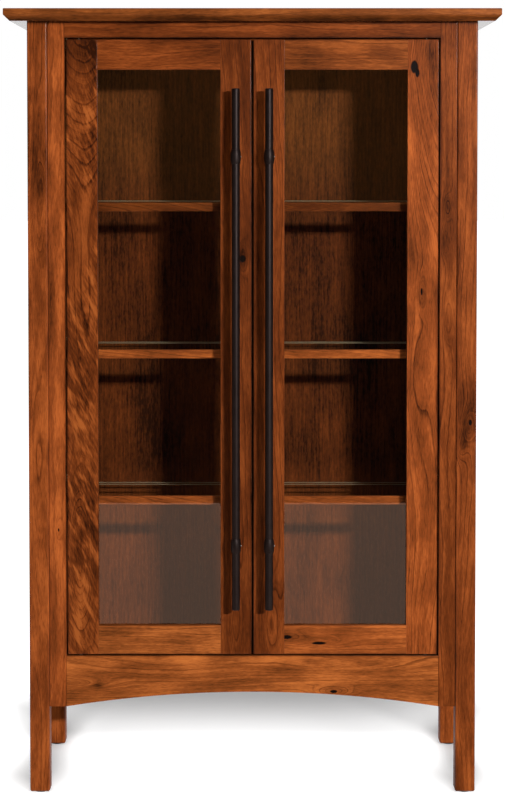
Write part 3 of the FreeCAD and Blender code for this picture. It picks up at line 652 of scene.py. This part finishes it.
def add_block(name, low, high):
    """A box between two corners, with its place in its mesh."""
    start_alone()
    low, high = Vector(low), Vector(high)
    bpy.ops.mesh.primitive_cube_add(size=1.0, location=(low + high) / 2, scale=high - low)
    piece = bpy.context.object
    piece.name = name
    bpy.ops.object.transform_apply(location=True, rotation=True, scale=True)
    return piece


def add_rod(name, radius, foot, head, sides=48):
    """A round rod between two points on a line along one axis."""
    start_alone()
    foot, head = Vector(foot), Vector(head)
    line = head - foot
    turn = Vector((0, 0, 1)).rotation_difference(line).to_euler()
    bpy.ops.mesh.primitive_cylinder_add(vertices=sides, radius=radius, depth=line.length,
                                        location=(foot + head) / 2, rotation=turn)
    piece = bpy.context.object
    piece.name = name
    bpy.ops.object.transform_apply(location=True, rotation=True, scale=True)
    return piece


def open_chosen(piece, kind, test):
    """Opens a piece in edit mode, with only those of its points, edges or faces selected that pass a test."""
    pick(piece)
    bpy.ops.object.mode_set(mode="EDIT")
    bpy.ops.mesh.select_mode(type=kind)
    bpy.ops.mesh.select_all(action="DESELECT")
    mesh = bmesh.from_edit_mesh(piece.data)
    for element in {"VERT": mesh.verts, "EDGE": mesh.edges, "FACE": mesh.faces}[kind]:
        element.select_set(test(element))
    bmesh.update_edit_mesh(piece.data)


def round_edges(piece, width, segments, test):
    """Bevels the edges whose two ends pass a test."""
    open_chosen(piece, "EDGE", lambda edge: test(edge.verts[0].co, edge.verts[1].co))
    bpy.ops.mesh.bevel(offset=width, segments=segments, affect="EDGES")
    bpy.ops.object.mode_set(mode="OBJECT")


def slice_at(piece, point, normal):
    """Adds a ring of edges where a plane meets the piece."""
    pick(piece)
    bpy.ops.object.mode_set(mode="EDIT")
    bpy.ops.mesh.select_all(action="SELECT")
    bpy.ops.mesh.bisect(plane_co=point, plane_no=normal)
    bpy.ops.object.mode_set(mode="OBJECT")


def use_modifier(piece, kind, **values):
    """Adds a modifier to a piece and applies it."""
    pick(piece)
    modifier = piece.modifiers.new(kind.title(), kind)
    for name, value in values.items():
        setattr(modifier, name, value)
    bpy.ops.object.modifier_apply(modifier=modifier.name)


def carve(piece, cutter):
    """Cuts one piece's form out of another and removes the cutter."""
    use_modifier(piece, "BOOLEAN", operation="DIFFERENCE", object=cutter, solver="EXACT")
    bpy.data.objects.remove(cutter, do_unlink=True)


def join(parts, name):
    """Joins several objects into one piece."""
    start_alone()
    for part in parts:
        part.select_set(True)
    bpy.context.view_layer.objects.active = parts[0]
    bpy.ops.object.join()
    piece = bpy.context.object
    piece.name = name
    return piece


def smooth(piece):
    """Shades the roundings smooth, keeps the arrises and leaves flat faces flat."""
    pick(piece)
    bpy.ops.object.shade_smooth_by_angle(angle=math.radians(40.0))
    use_modifier(piece, "WEIGHTED_NORMAL", keep_sharp=True)


def add_on(piece, body, material):
    """Hands a finished piece to the body that carries it."""
    smooth(piece)
    piece.data.materials.clear()
    piece.data.materials.append(material)
    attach(piece, body)


def dress(piece, body, node, material):
    """Hands over a finished piece that stands in place of a node."""
    add_on(piece, body, material)
    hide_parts(node)


def dress_board(piece, body, node, under=0.0):
    """Hands over a cherry board with its own grain, its eased edges and underside marked for polish."""
    dress(piece, body, node, board_material(node))
    arris = piece.data.attributes.new("arris", "FLOAT", "FACE")
    for face, mark in zip(piece.data.polygons, arris.data):
        mark.value = float(max(map(abs, face.normal)) < FLAT_NORMAL and face.area < ROUNDING_AREA)
        if face.normal.z < -FLAT_NORMAL:
            mark.value = under


def board_material(node):
    """The cherry of one board."""
    return cherry_material(f"cherry_{node}", GRAINS[node], settings().cherry)


def paint(node, material):
    """Gives a CAD node that stays in view its material."""
    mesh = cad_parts[node].data
    mesh.materials.clear()
    mesh.materials.append(material)


def copied(piece, name, shift):
    """A copy of a piece with its own mesh, moved by a shift."""
    pick(piece)
    bpy.ops.object.duplicate()
    copy = bpy.context.object
    copy.name = name
    bpy.ops.transform.translate(value=shift)
    bpy.ops.object.transform_apply(location=True, rotation=True, scale=True)
    return copy


def side_span(side, near, far):
    """The x values of a span between two distances from the middle, on one side."""
    return sorted((side * near, side * far))


def upright(a, b):
    """True for an edge that runs up."""
    return abs(a.z - b.z) > max(abs(a.x - b.x), abs(a.y - b.y))


class CABINET_OT_top(bpy.types.Operator):
    """Make the overhanging top with its undercut edges"""

    bl_idname = "cabinet.top"
    bl_label = "Top"

    def execute(self, context):
        sizes = settings().sizes
        low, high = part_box("top_panel")
        piece = add_block("cabinet_top", low, high)
        near = sizes.board_round

        def under(a, b):
            return max(a.z, b.z) < low.z + near and min(a.y, b.y) < high.y - near

        def upper(a, b):
            return min(a.z, b.z) > high.z - near

        def arris(a, b):
            edge = low.z + sizes.top_undercut
            return abs(a.z - edge) < near and abs(b.z - edge) < near and min(a.y, b.y) < high.y - near

        round_edges(piece, sizes.top_undercut, 1, under)
        round_edges(piece, sizes.top_round, 3, upper)
        round_edges(piece, sizes.board_round, 2, arris)
        # The underside has a full coat of lacquer, six times that of an eased edge.
        dress_board(piece, "case", "top_panel", under=6.0)
        return {"FINISHED"}


class CABINET_OT_legs(bpy.types.Operator):
    """Make the four square legs with rounded edges, the rear ones rebated for the back"""

    bl_idname = "cabinet.legs"
    bl_label = "Legs"

    def execute(self, context):
        sizes = settings().sizes
        back_low, back_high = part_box("back_panel")
        for name, side in SIDES.items():
            for place in ("front", "rear"):
                node = f"{place}_{name}_leg"
                low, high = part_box(node)
                piece = add_block(f"{node}_post", low, high)
                round_edges(piece, sizes.leg_round, 4, upright)
                foot = low.z + sizes.board_round
                round_edges(piece, sizes.foot_chamfer, 1, lambda a, b: max(a.z, b.z) < foot)
                if place == "rear":
                    gap = sizes.joint_round
                    spans = side_span(side, abs(low.x + high.x) / 4, back_high.x + gap)
                    notch = add_block("notch", (spans[0], back_low.y, back_low.z - gap),
                                      (spans[1], high.y + gap, back_high.z + gap))
                    carve(piece, notch)
                dress_board(piece, "case", node)
        return {"FINISHED"}


class CABINET_OT_face_frame(bpy.types.Operator):
    """Make the face frame: two stiles, a top rail and an arched apron"""

    bl_idname = "cabinet.face_frame"
    bl_label = "Face frame"

    def execute(self, context):
        sizes = settings().sizes
        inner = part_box("right_face_stile")[0].x
        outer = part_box("front_right_leg")[0].x
        for name, side in SIDES.items():
            node = f"{name}_face_stile"
            low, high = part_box(node)
            spans = side_span(side, inner, outer)
            piece = add_block(f"{node}_board", (spans[0], low.y, low.z), (spans[1], high.y, high.z))
            front = low.y + sizes.joint_round

            def front_edge(x, room):
                """Picks the front edges that run up at an x."""
                return lambda a, b: (max(a.y, b.y) < front and upright(a, b)
                                     and abs(a.x - x) < room and abs(b.x - x) < room)

            round_edges(piece, sizes.door_round, 3, front_edge(side * outer, sizes.door_round))
            round_edges(piece, sizes.joint_round, 1, front_edge(side * inner, sizes.joint_round))
            dress_board(piece, "case", node)

        low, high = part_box("face_top_rail")
        rail = add_block("face_top_rail_board", (-inner, low.y, low.z), (inner, high.y, high.z))
        near = sizes.door_round
        round_edges(rail, sizes.board_round, 2,
                    lambda a, b: max(a.y, b.y) < low.y + near and max(a.z, b.z) < low.z + near)
        dress_board(rail, "case", "face_top_rail")
        self.apron(sizes, inner)
        return {"FINISHED"}

    def apron(self, sizes, half):
        """The board under the doors, arched from stile to stile."""
        low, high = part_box("arched_apron")
        piece = add_block("arched_apron_board", (-half, low.y, low.z), (half, high.y, high.z))
        radius = (half ** 2 + sizes.arch_rise ** 2) / (2 * sizes.arch_rise)
        centre = low.z + sizes.arch_rise - radius
        reach = sizes.door_round
        arch = add_rod("arch", radius, (0, low.y - reach, centre), (0, high.y + reach, centre), sides=1440)
        carve(piece, arch)
        lengths = 48
        for step in range(1, lengths):
            slice_at(piece, (half * (2 * step / lengths - 1), 0, 0), (1, 0, 0))
        near = sizes.joint_round
        crown = low.z + sizes.arch_rise + near
        round_edges(piece, sizes.board_round, 2,
                    lambda a, b: max(a.y, b.y) < low.y + near and not upright(a, b)
                    and (min(a.z, b.z) > high.z - near or max(a.z, b.z) < crown))
        dress_board(piece, "case", "arched_apron")


class CABINET_OT_sides(bpy.types.Operator):
    """Make the rails of the framed sides and finish their panels"""

    bl_idname = "cabinet.sides"
    bl_label = "Sides"

    def execute(self, context):
        sizes = settings().sizes
        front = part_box("front_left_leg")[1].y
        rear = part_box("rear_left_leg")[0].y
        for name in SIDES:
            for level in ("top", "bottom"):
                node = f"{name}_side_{level}_rail"
                low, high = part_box(node)
                piece = add_block(f"{node}_board", (low.x, front, low.z), (high.x, rear, high.z))
                round_edges(piece, sizes.board_round, 2,
                            lambda a, b: abs(a.y - b.y) > sizes.door_round)
                dress_board(piece, "case", node)
            paint(f"{name}_side_panel", board_material(f"{name}_side_panel"))
        return {"FINISHED"}


class CABINET_OT_back(bpy.types.Operator):
    """Finish the back panel and make the rails that carry it"""

    bl_idname = "cabinet.back"
    bl_label = "Back"

    def execute(self, context):
        sizes = settings().sizes
        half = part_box("rear_right_leg")[0].x
        for level in ("top", "bottom"):
            node = f"back_{level}_rail"
            low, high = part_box(node)
            piece = add_block(f"{node}_board", (-half, low.y, low.z), (half, high.y, high.z))
            round_edges(piece, sizes.board_round, 2, lambda a, b: abs(a.x - b.x) > half)
            dress_board(piece, "case", node)
        paint("back_panel", veneer_material(settings().cherry))
        return {"FINISHED"}


class CABINET_OT_doors(bpy.types.Operator):
    """Make the frames and panes of both doors"""

    bl_idname = "cabinet.doors"
    bl_label = "Doors"

    def execute(self, context):
        sizes = settings().sizes
        glass = glass_material(settings().glass)
        for name in SIDES:
            body = f"{name}_door"
            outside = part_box(f"{name}_door_hinge_stile")
            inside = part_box(f"{name}_door_meeting_stile")
            low = Vector(map(min, outside[0], inside[0]))
            high = Vector(map(max, outside[1], inside[1]))
            pane_low, pane_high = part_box(f"{name}_door_glass")
            lap = sizes.rebate - sizes.glass_clearance
            opening = (Vector((pane_low.x + lap, 0, pane_low.z + lap)),
                       Vector((pane_high.x - lap, 0, pane_high.z - lap)))
            boards = {}
            for stile in ("hinge", "meeting"):
                node = f"{name}_door_{stile}_stile"
                boards[node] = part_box(node)
            for rail in ("top", "bottom"):
                node = f"{name}_door_{rail}_rail"
                first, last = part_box(node)
                boards[node] = ((opening[0].x, first.y, first.z), (opening[1].x, last.y, last.z))
            for node, (first, last) in boards.items():
                piece = add_block(f"{node}_board", first, last)
                self.ease(piece, low, high, opening)
                self.rebate(piece, pane_low, opening, high)
                dress_board(piece, body, node)
            pane = add_block(f"{name}_door_pane", pane_low, pane_high)
            round_edges(pane, sizes.glass_edge, 1, lambda a, b: True)
            dress(pane, body, f"{name}_door_glass", glass)
            paint(f"{name}_door_glass_stops", board_material(f"{name}_door_glass_stops"))
        return {"FINISHED"}

    def ease(self, piece, low, high, opening):
        """Rounds the outer edges of the door on one of its boards, and eases those round the glass."""
        sizes = settings().sizes
        near = sizes.joint_round

        def on_outside(point):
            return (point.x < low.x + near, point.x > high.x - near,
                    point.z < low.z + near, point.z > high.z - near)

        def outer(a, b):
            return any(p and q for p, q in zip(on_outside(a), on_outside(b)))

        def round_glass(a, b):
            front = max(a.y, b.y) < low.y + near
            by_side = any(abs(a.x - c.x) < near and abs(b.x - c.x) < near for c in opening)
            by_end = any(abs(a.z - c.z) < near and abs(b.z - c.z) < near for c in opening)
            return front and (by_side and upright(a, b) or by_end and not upright(a, b))

        round_edges(piece, sizes.joint_round * 2, 2, round_glass)
        round_edges(piece, sizes.door_round, 3, outer)

    def rebate(self, piece, pane_low, opening, high):
        """Cuts the rebate for the glass and its stops."""
        width = settings().sizes.rebate
        pocket = add_block("pocket", (opening[0].x - width, pane_low.y, opening[0].z - width),
                           (opening[1].x + width, high.y + width, opening[1].z + width))
        carve(piece, pocket)


class CABINET_OT_dust_strip(bpy.types.Operator):
    """Make the soft dark strip that closes the gap between the doors; its near-black felt paints the shade in
    the gap
    """

    bl_idname = "cabinet.dust_strip"
    bl_label = "Dust strip"

    def execute(self, context):
        sizes = settings().sizes
        low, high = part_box("right_door_meeting_stile")
        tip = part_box("left_door_meeting_stile")[1].x + sizes.strip_room
        front = low.y + sizes.strip_inset
        end = sizes.strip_inset / 2
        strip = add_block("right_door_dust_strip", (tip, front, low.z + end),
                          (low.x, front + sizes.strip_depth, high.z - end))
        # The tip is rounded nearly to a half circle.
        round_edges(strip, (low.x - tip) * 0.45, 4,
                    lambda a, b: max(a.x, b.x) < tip + sizes.joint_round and upright(a, b))
        # Near-black felt: a dark piece that paints the shade in the gap between the doors.
        felt = plastic_material("dust_strip", (0.0020, 0.0014, 0.0012), (0.005, 0.0035, 0.003), gloss=0.03)
        add_on(strip, "right_door", felt)
        return {"FINISHED"}


class CABINET_OT_pulls(bpy.types.Operator):
    """Make the bar pulls with their barrel collars, posts and grub screws"""

    bl_idname = "cabinet.pulls"
    bl_label = "Pulls"

    def execute(self, context):
        sizes = settings().sizes
        bronze = bronze_material(settings().bronze)
        steel = metal_material("grub_steel", *STEEL, 0.30)
        low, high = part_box("left_pull_bar")
        axis = (low + high) / 2
        shift = sum(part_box("right_pull_bar"), Vector()) / 2 - axis
        rod = add_rod("left_pull_rod", sizes.bar_radius, (axis.x, axis.y, low.z), (axis.x, axis.y, high.z),
                      sides=64)
        round_edges(rod, sizes.bar_end_round, 4, lambda a, b: not upright(a, b))
        dress(rod, "left_door", "left_pull_bar", bronze)
        # The right rod is a copy of the dressed left rod, moved across by the shift between the bars.
        other_rod = copied(rod, "right_pull_rod", shift)
        dress(other_rod, "right_door", "right_pull_bar", bronze)
        collars = self.mounts(sizes, axis)
        other_collars = copied(collars, "right_pull_collars", shift)
        dress(collars, "left_door", "left_pull_mounts", bronze)
        dress(other_collars, "right_door", "right_pull_mounts", bronze)
        screws = self.grub_screws(sizes, axis)
        add_on(copied(screws, "right_pull_grub_screws", shift), "right_door", steel)
        add_on(screws, "left_door", steel)
        return {"FINISHED"}

    def grub_screws(self, sizes, axis):
        """The socket screws of the left pull, one in the right side of each collar."""
        low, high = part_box("left_pull_mounts")
        half = sizes.collar_length / 2
        seat = sizes.bar_radius + sizes.collar_wall
        reach = seat + sizes.collar_crown + sizes.grub_stand
        parts = []
        for height in (low.z + half, high.z - half):
            screw = add_rod("grub", sizes.grub_radius, (axis.x + seat, axis.y, height),
                            (axis.x + reach, axis.y, height), sides=24)
            self.socket(screw, sizes.grub_radius * 0.45)
            parts.append(screw)
        return join(parts, "left_pull_grub_screws")

    def socket(self, screw, wall):
        """Sinks the drive socket into a screw's outer end."""
        open_chosen(screw, "FACE", lambda face: face.normal.x > 0.9)
        bpy.ops.mesh.inset(thickness=wall)
        bpy.ops.mesh.extrude_region_move(TRANSFORM_OT_translate={"value": (-wall, 0.0, 0.0)})
        bpy.ops.object.mode_set(mode="OBJECT")

    def mounts(self, sizes, axis):
        """Both mounts of the left pull: a barrel collar round the bar, on a post with a flange."""
        low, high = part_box("left_pull_mounts")
        half = sizes.collar_length / 2
        parts = []
        for height in (low.z + half, high.z - half):
            collar = self.collar(sizes, axis, height)
            post = add_rod("post", sizes.post_radius, (axis.x, axis.y + sizes.bar_radius, height),
                           (axis.x, high.y, height))
            flange = add_rod("flange", sizes.post_base_radius,
                             (axis.x, high.y - sizes.post_base_height, height), (axis.x, high.y, height))
            front = high.y - sizes.post_base_height / 2
            round_edges(flange, sizes.board_round, 3, lambda a, b: max(a.y, b.y) < front)
            parts += [collar, post, flange]
        return join(parts, "left_pull_collars")

    def collar(self, sizes, axis, height):
        """A barrel collar: a short sleeve, swollen at its middle and eased at its ends."""
        half = sizes.collar_length / 2
        radius = sizes.bar_radius + sizes.collar_wall
        piece = add_rod("collar", radius, (axis.x, axis.y, height - half), (axis.x, axis.y, height + half),
                        sides=64)
        rings = 8
        for step in range(1, rings):
            level = height - half + sizes.collar_length * step / rings
            slice_at(piece, (axis.x, axis.y, level), (0, 0, 1))
        for step in range(1, rings):
            place = 2 * step / rings - 1
            level = height + half * place
            swell = 1 + sizes.collar_crown * (1 - place ** 2) / radius
            self.swell_ring(piece, axis, level, swell, sizes.joint_round)
        round_edges(piece, sizes.board_round * 0.7, 3,
                    lambda a, b: abs(a.z - b.z) < sizes.joint_round
                    and abs(abs(a.z - height) - half) < sizes.joint_round)
        return piece

    def swell_ring(self, piece, axis, level, swell, near):
        """Widens the ring of points at a height, about the axis of the bar."""
        open_chosen(piece, "VERT", lambda point: abs(point.co.z - level) < near)
        bpy.ops.transform.resize(value=(swell, swell, 1.0), center_override=(axis.x, axis.y, level))
        bpy.ops.object.mode_set(mode="OBJECT")


class CABINET_OT_shelves(bpy.types.Operator):
    """Make the glass shelves with their plate grooves, and the nosings"""

    bl_idname = "cabinet.shelves"
    bl_label = "Shelves"

    def execute(self, context):
        sizes = settings().sizes
        glass = glass_material(settings().glass)
        ground = ground_glass_material()
        for name in SHELVES:
            body = f"{name}_shelf"
            node = f"{name}_shelf_glass"
            low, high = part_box(node)
            plate = add_block(f"{name}_shelf_plate", low, high)
            round_edges(plate, sizes.glass_edge, 1, lambda a, b: True)
            axis_z = high.z + sizes.groove_radius - sizes.groove_depth
            reach = sizes.groove_radius
            for inset in GROOVE_INSETS:
                place = high.y - inset
                cutter = add_rod("groove", sizes.groove_radius, (low.x - reach, place, axis_z),
                                 (high.x + reach, place, axis_z), sides=64)
                carve(plate, cutter)
            dress(plate, body, node, glass)
            self.grind(plate, ground, low, high, sizes)
            node = f"{name}_shelf_nosing"
            low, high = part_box(node)
            strip = add_block(f"{name}_shelf_lip", low, high)
            edge = sizes.board_round
            round_edges(strip, edge * 1.5, 3, lambda a, b: max(a.y, b.y) < low.y + edge)
            seat_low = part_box(f"{name}_shelf_glass")[0]
            seat = add_block("seat", (low.x - edge, seat_low.y, seat_low.z),
                             (high.x + edge, high.y + edge, high.z + edge))
            carve(strip, seat)
            dress_board(strip, body, node)
        return {"FINISHED"}

    def grind(self, plate, ground, low, high, sizes):
        """Gives the hollow faces of the grooves their ground finish."""
        plate.data.materials.append(ground)
        floor = high.z - sizes.groove_depth - sizes.joint_round
        for face in plate.data.polygons:
            inside = low.y + sizes.groove_radius < face.center.y < high.y - sizes.groove_radius
            if inside and floor < face.center.z < high.z - sizes.joint_round / 10 and face.normal.z > 0.1:
                face.material_index = 1


class CABINET_OT_fittings(bpy.types.Operator):
    """Finish the deck, strips, screws, pins, catches and glides"""

    bl_idname = "cabinet.fittings"
    bl_label = "Fittings"

    def execute(self, context):
        for node in ("bottom_deck", "door_stop_rail", "shelf_strips"):
            paint(node, board_material(node))
        plain = plain_wood_material()
        for node in ("deck_cleats", "top_fastener_blocks"):
            paint(node, plain)
        steel = metal_material("zinc_steel", *STEEL, 0.34)
        for node in ("case_screws", "back_panel_screws", "shelf_pins"):
            paint(node, steel)
        browned = metal_material("browned_steel", (0.030, 0.018, 0.012), (0.05, 0.03, 0.02), 0.5)
        paint("door_pivot_pins", browned)
        brass = metal_material("turned_brass", (0.52, 0.36, 0.13), (0.72, 0.54, 0.24), 0.32)
        for name in SIDES:
            for fitting in ("door_stop_brads", "door_strike_plate", "pull_screws"):
                paint(f"{name}_{fitting}", steel)
            paint(f"{name}_door_pivot_bushes", brass)
        brown = plastic_material("catch_plastic", (0.035, 0.015, 0.008), (0.05, 0.022, 0.012))
        paint("magnetic_catches", brown)
        black = plastic_material("glide_plastic", (0.012, 0.011, 0.010), (0.02, 0.018, 0.017))
        paint("floor_glides", black)
        return {"FINISHED"}


class CABINET_OT_stage(bpy.types.Operator):
    """Set up the floor, the lamps, the flags and the camera"""

    bl_idname = "cabinet.stage"
    bl_label = "Stage"

    def execute(self, context):
        stage = settings().stage
        self.floor(stage)
        self.cards()
        self.world(stage)
        self.lamps(stage)
        self.camera(stage)
        context.scene.view_settings.view_transform = "Standard"
        return {"FINISHED"}

    def floor(self, stage):
        """A pale floor that runs out to plain white away from the cabinet and throws little light back."""
        start_alone()
        bpy.ops.mesh.primitive_circle_add(vertices=96, radius=40.0, fill_type="NGON", location=(0, 0, 0))
        plane = bpy.context.object
        plane.name = "stage_floor"
        material, start = new_material("stage_floor")
        seen = ray_is(start, *SEEN_RAYS)
        glow = seen * self.floor_glow(start, stage)
        lit = start.node("ShaderNodeBsdfDiffuse", inputs={"Color": (*stage.floor, 1.0)})
        white = start.node("ShaderNodeEmission", inputs={"Strength": glow})
        pale = start.node("ShaderNodeAddShader", inputs={0: lit, 1: white})
        dim = start.node("ShaderNodeBsdfDiffuse", inputs={"Color": (0.40, 0.40, 0.40, 1.0)})
        close_material(start, start.node("ShaderNodeMixShader", inputs={0: seen, 1: dim, 2: pale}))
        plane.data.materials.append(material)

    def floor_glow(self, start, stage):
        """The lift to white at each place of the floor, least behind the cabinet and beside its legs, where
        it is lowered to paint the cabinet's soft shadow.
        """
        parts = object_place(start)[1]
        across, deep = parts["X"], parts["Y"]
        reach = (across * across + deep * deep) ** 0.5
        aside = across.maths("ABSOLUTE", across).between(0.53, 0.66)
        far = reach.maths("MAXIMUM", reach.between(0.70, 0.95), aside)
        # The lift is least behind the cabinet and rises towards its front, a painted soft shadow behind it;
        # it drops again in front so that the legs' own shadows show.
        from_behind = (0.68 - deep).between(0.0, 0.40)
        under_rear = (0.33 - deep).between(0.0, 0.14)
        under_front = (0.15 - deep).between(0.0, 0.25)
        near = stage.floor_glow - 0.115 + from_behind * 0.37 + under_rear * 0.36 - under_front * 0.42
        # Painted shadows on the floor beside the legs, along each side of the cabinet.
        leg_shadow_band = (deep + 0.20).between(0.0, 0.32) * (0.55 - deep).between(0.0, 0.40)
        for middle, width in ((-0.468, 0.090), (0.465, 0.075)):
            off = across - middle
            beside = 1.0 - off.maths("ABSOLUTE", off).between(0.0, width)
            near = near - beside * leg_shadow_band * 0.85
        return near + far * (1.0 - stage.floor_glow)

    def cards(self):
        """Cards that only reflections meet: a warm one on the floor, and dark flags round the camera."""
        dark = (0.006, 0.005, 0.005)
        side, wide = 6.0, 9.0
        near, middle, front = -0.45, -3.94, -9.0
        back = 3.0
        lift, horizon, head = 0.004, 1.06, 9.0
        self.card("stage_warm_card", (0.875, 0.55, 0.40), (-side, near, lift), (side, middle, lift))
        self.card("stage_floor_flag", dark, (-wide, middle, lift), (wide, front, lift))
        self.card("stage_front_flag", dark, (-wide, front, 0.0), (wide, front, horizon))
        self.card("stage_dim_card", (0.14, 0.0575, 0.019), (-wide, front, horizon), (wide, front, head))
        for name, way in SIDES.items():
            self.card(f"stage_{name}_flag", dark, (way * side, front, 0.0), (way * side, back, head))

    def card(self, name, colour, first, last):
        """A flat card between two corners, which glossy rays alone can see."""
        start_alone()
        bpy.ops.mesh.primitive_plane_add(size=2.0)
        card = bpy.context.object
        card.name = name
        spans = [axis for axis in range(3) if first[axis] != last[axis]]
        for point in card.data.vertices:
            corner = list(first)
            for axis, end in zip(spans, point.co):
                if end > 0:
                    corner[axis] = last[axis]
            point.co = corner
        material, start = new_material(name)
        shader = start.node("ShaderNodeEmission", inputs={"Color": (*colour, 1.0), "Strength": 1.0})
        close_material(start, shader)
        card.data.materials.append(material)
        for rays in ("camera", "diffuse", "transmission", "shadow", "volume_scatter"):
            setattr(card, f"visible_{rays}", False)

    def world(self, stage):
        """Soft light from all round, least from the front, with a white background for what sees it."""
        world = bpy.data.worlds.new("stage_world")
        world.use_nodes = True
        world.node_tree.nodes.clear()
        start = Shade(world.node_tree)
        way = start.node("ShaderNodeTexCoord", output="Generated")
        across = start.node("ShaderNodeSeparateXYZ", inputs={0: way})
        behind = Shade(start.tree, across.socket.node.outputs["Y"])
        front = (0.0 - behind).between(0.52, 0.82)
        round_back = across.maths("MAXIMUM", across.maths("ABSOLUTE", across).between(0.6, 0.95),
                                  behind.between(0.3, 0.7))
        level = stage.fill * (1.0 - front * 0.95) * (1.0 + round_back * 0.9)
        soft = start.node("ShaderNodeBackground", inputs={"Strength": level})
        white = start.node("ShaderNodeBackground", inputs={"Strength": 1.0})
        for shade in (soft, white):
            shade.socket.node.inputs["Color"].default_value = (1.0, 1.0, 1.0, 1.0)
        both = start.node("ShaderNodeMixShader", inputs={0: ray_is(start, *SEEN_RAYS), 1: soft, 2: white})
        start.node("ShaderNodeOutputWorld", inputs={"Surface": both})
        bpy.context.scene.world = world

    def lamps(self, stage):
        """The soft box that lights the cabinet from the front right, and a wide one for the floor."""
        floor = bpy.data.objects["stage_floor"]
        key = self.lamp("key_lamp", stage.key_place, (0.0, 0.0, 0.85), stage.key_power)
        self.soft_box(key, stage.key_size, stage.key_size * 0.3)
        self.link(key, floor, "EXCLUDE")
        low = self.lamp("floor_lamp", (0.6, -5.0, 2.0), (0.0, 0.2, 0.0), stage.floor_power)
        self.soft_box(low, 5.0, 1.4)
        self.link(low, floor, "INCLUDE")

    def lamp(self, name, place, aim, power):
        """A lamp at a place, aimed at a point."""
        place = Vector(place)
        bpy.ops.object.light_add(type="AREA", location=place)
        lamp = bpy.context.object
        lamp.name = name
        lamp.data.energy = power
        lamp.visible_camera = False
        lamp.rotation_euler = (Vector(aim) - place).to_track_quat("-Z", "Y").to_euler()
        return lamp

    def soft_box(self, lamp, width, height):
        """Gives a lamp the size of its soft box."""
        lamp.data.shape = "RECTANGLE"
        lamp.data.size = width
        lamp.data.size_y = height

    def link(self, lamp, floor, state):
        """Keeps a lamp off the floor, or keeps it to the floor."""
        group = bpy.data.collections.new(f"{lamp.name}_link")
        group.objects.link(floor)
        group.collection_objects[0].light_linking.link_state = state
        lamp.light_linking.receiver_collection = group

    def camera(self, stage):
        """The camera of the photograph: nearly level, with a shifted lens."""
        turn = (math.radians(90.0) - stage.pitch, 0.0, 0.0)
        bpy.ops.object.camera_add(location=stage.camera_place, rotation=turn)
        camera = bpy.context.object
        camera.name = "camera"
        camera.data.sensor_width = 36.0
        camera.data.lens = stage.lens
        camera.data.shift_y = stage.shift
        camera.data.clip_end = 200.0
        bpy.context.scene.camera = camera


OPERATORS = (CABINET_OT_top, CABINET_OT_legs, CABINET_OT_face_frame, CABINET_OT_sides, CABINET_OT_back,
             CABINET_OT_doors, CABINET_OT_dust_strip, CABINET_OT_pulls, CABINET_OT_shelves,
             CABINET_OT_fittings, CABINET_OT_stage)


class CABINET_PT_panel(bpy.types.Panel):
    """Lists the steps that build the cabinet"""

    bl_idname = "CABINET_PT_panel"
    bl_label = "Display cabinet"
    bl_space_type = "VIEW_3D"
    bl_region_type = "UI"
    bl_category = "Cabinet"

    def draw(self, context):
        for operator in OPERATORS:
            self.layout.operator(operator.bl_idname)


GROUPS = (CherryFinish, GlassFinish, BronzeFinish, MakingSizes, StageSettings, CabinetSettings)
CLASSES = GROUPS + OPERATORS + (CABINET_PT_panel,)


def register():
    """Registers the classes and gives the scene its settings."""
    for cls in CLASSES:
        bpy.utils.register_class(cls)
    bpy.types.Scene.cabinet = PointerProperty(type=CabinetSettings)


def unregister():
    """Removes the settings and the classes."""
    del bpy.types.Scene.cabinet
    for cls in reversed(CLASSES):
        bpy.utils.unregister_class(cls)


def main():
    """Builds the cabinet piece by piece."""
    register()
    bpy.ops.cabinet.top()
    bpy.ops.cabinet.legs()
    bpy.ops.cabinet.face_frame()
    bpy.ops.cabinet.sides()
    bpy.ops.cabinet.back()
    bpy.ops.cabinet.doors()
    bpy.ops.cabinet.dust_strip()
    bpy.ops.cabinet.pulls()
    bpy.ops.cabinet.shelves()
    bpy.ops.cabinet.fittings()
    bpy.ops.cabinet.stage()


if __name__ == "__main__":
    main()
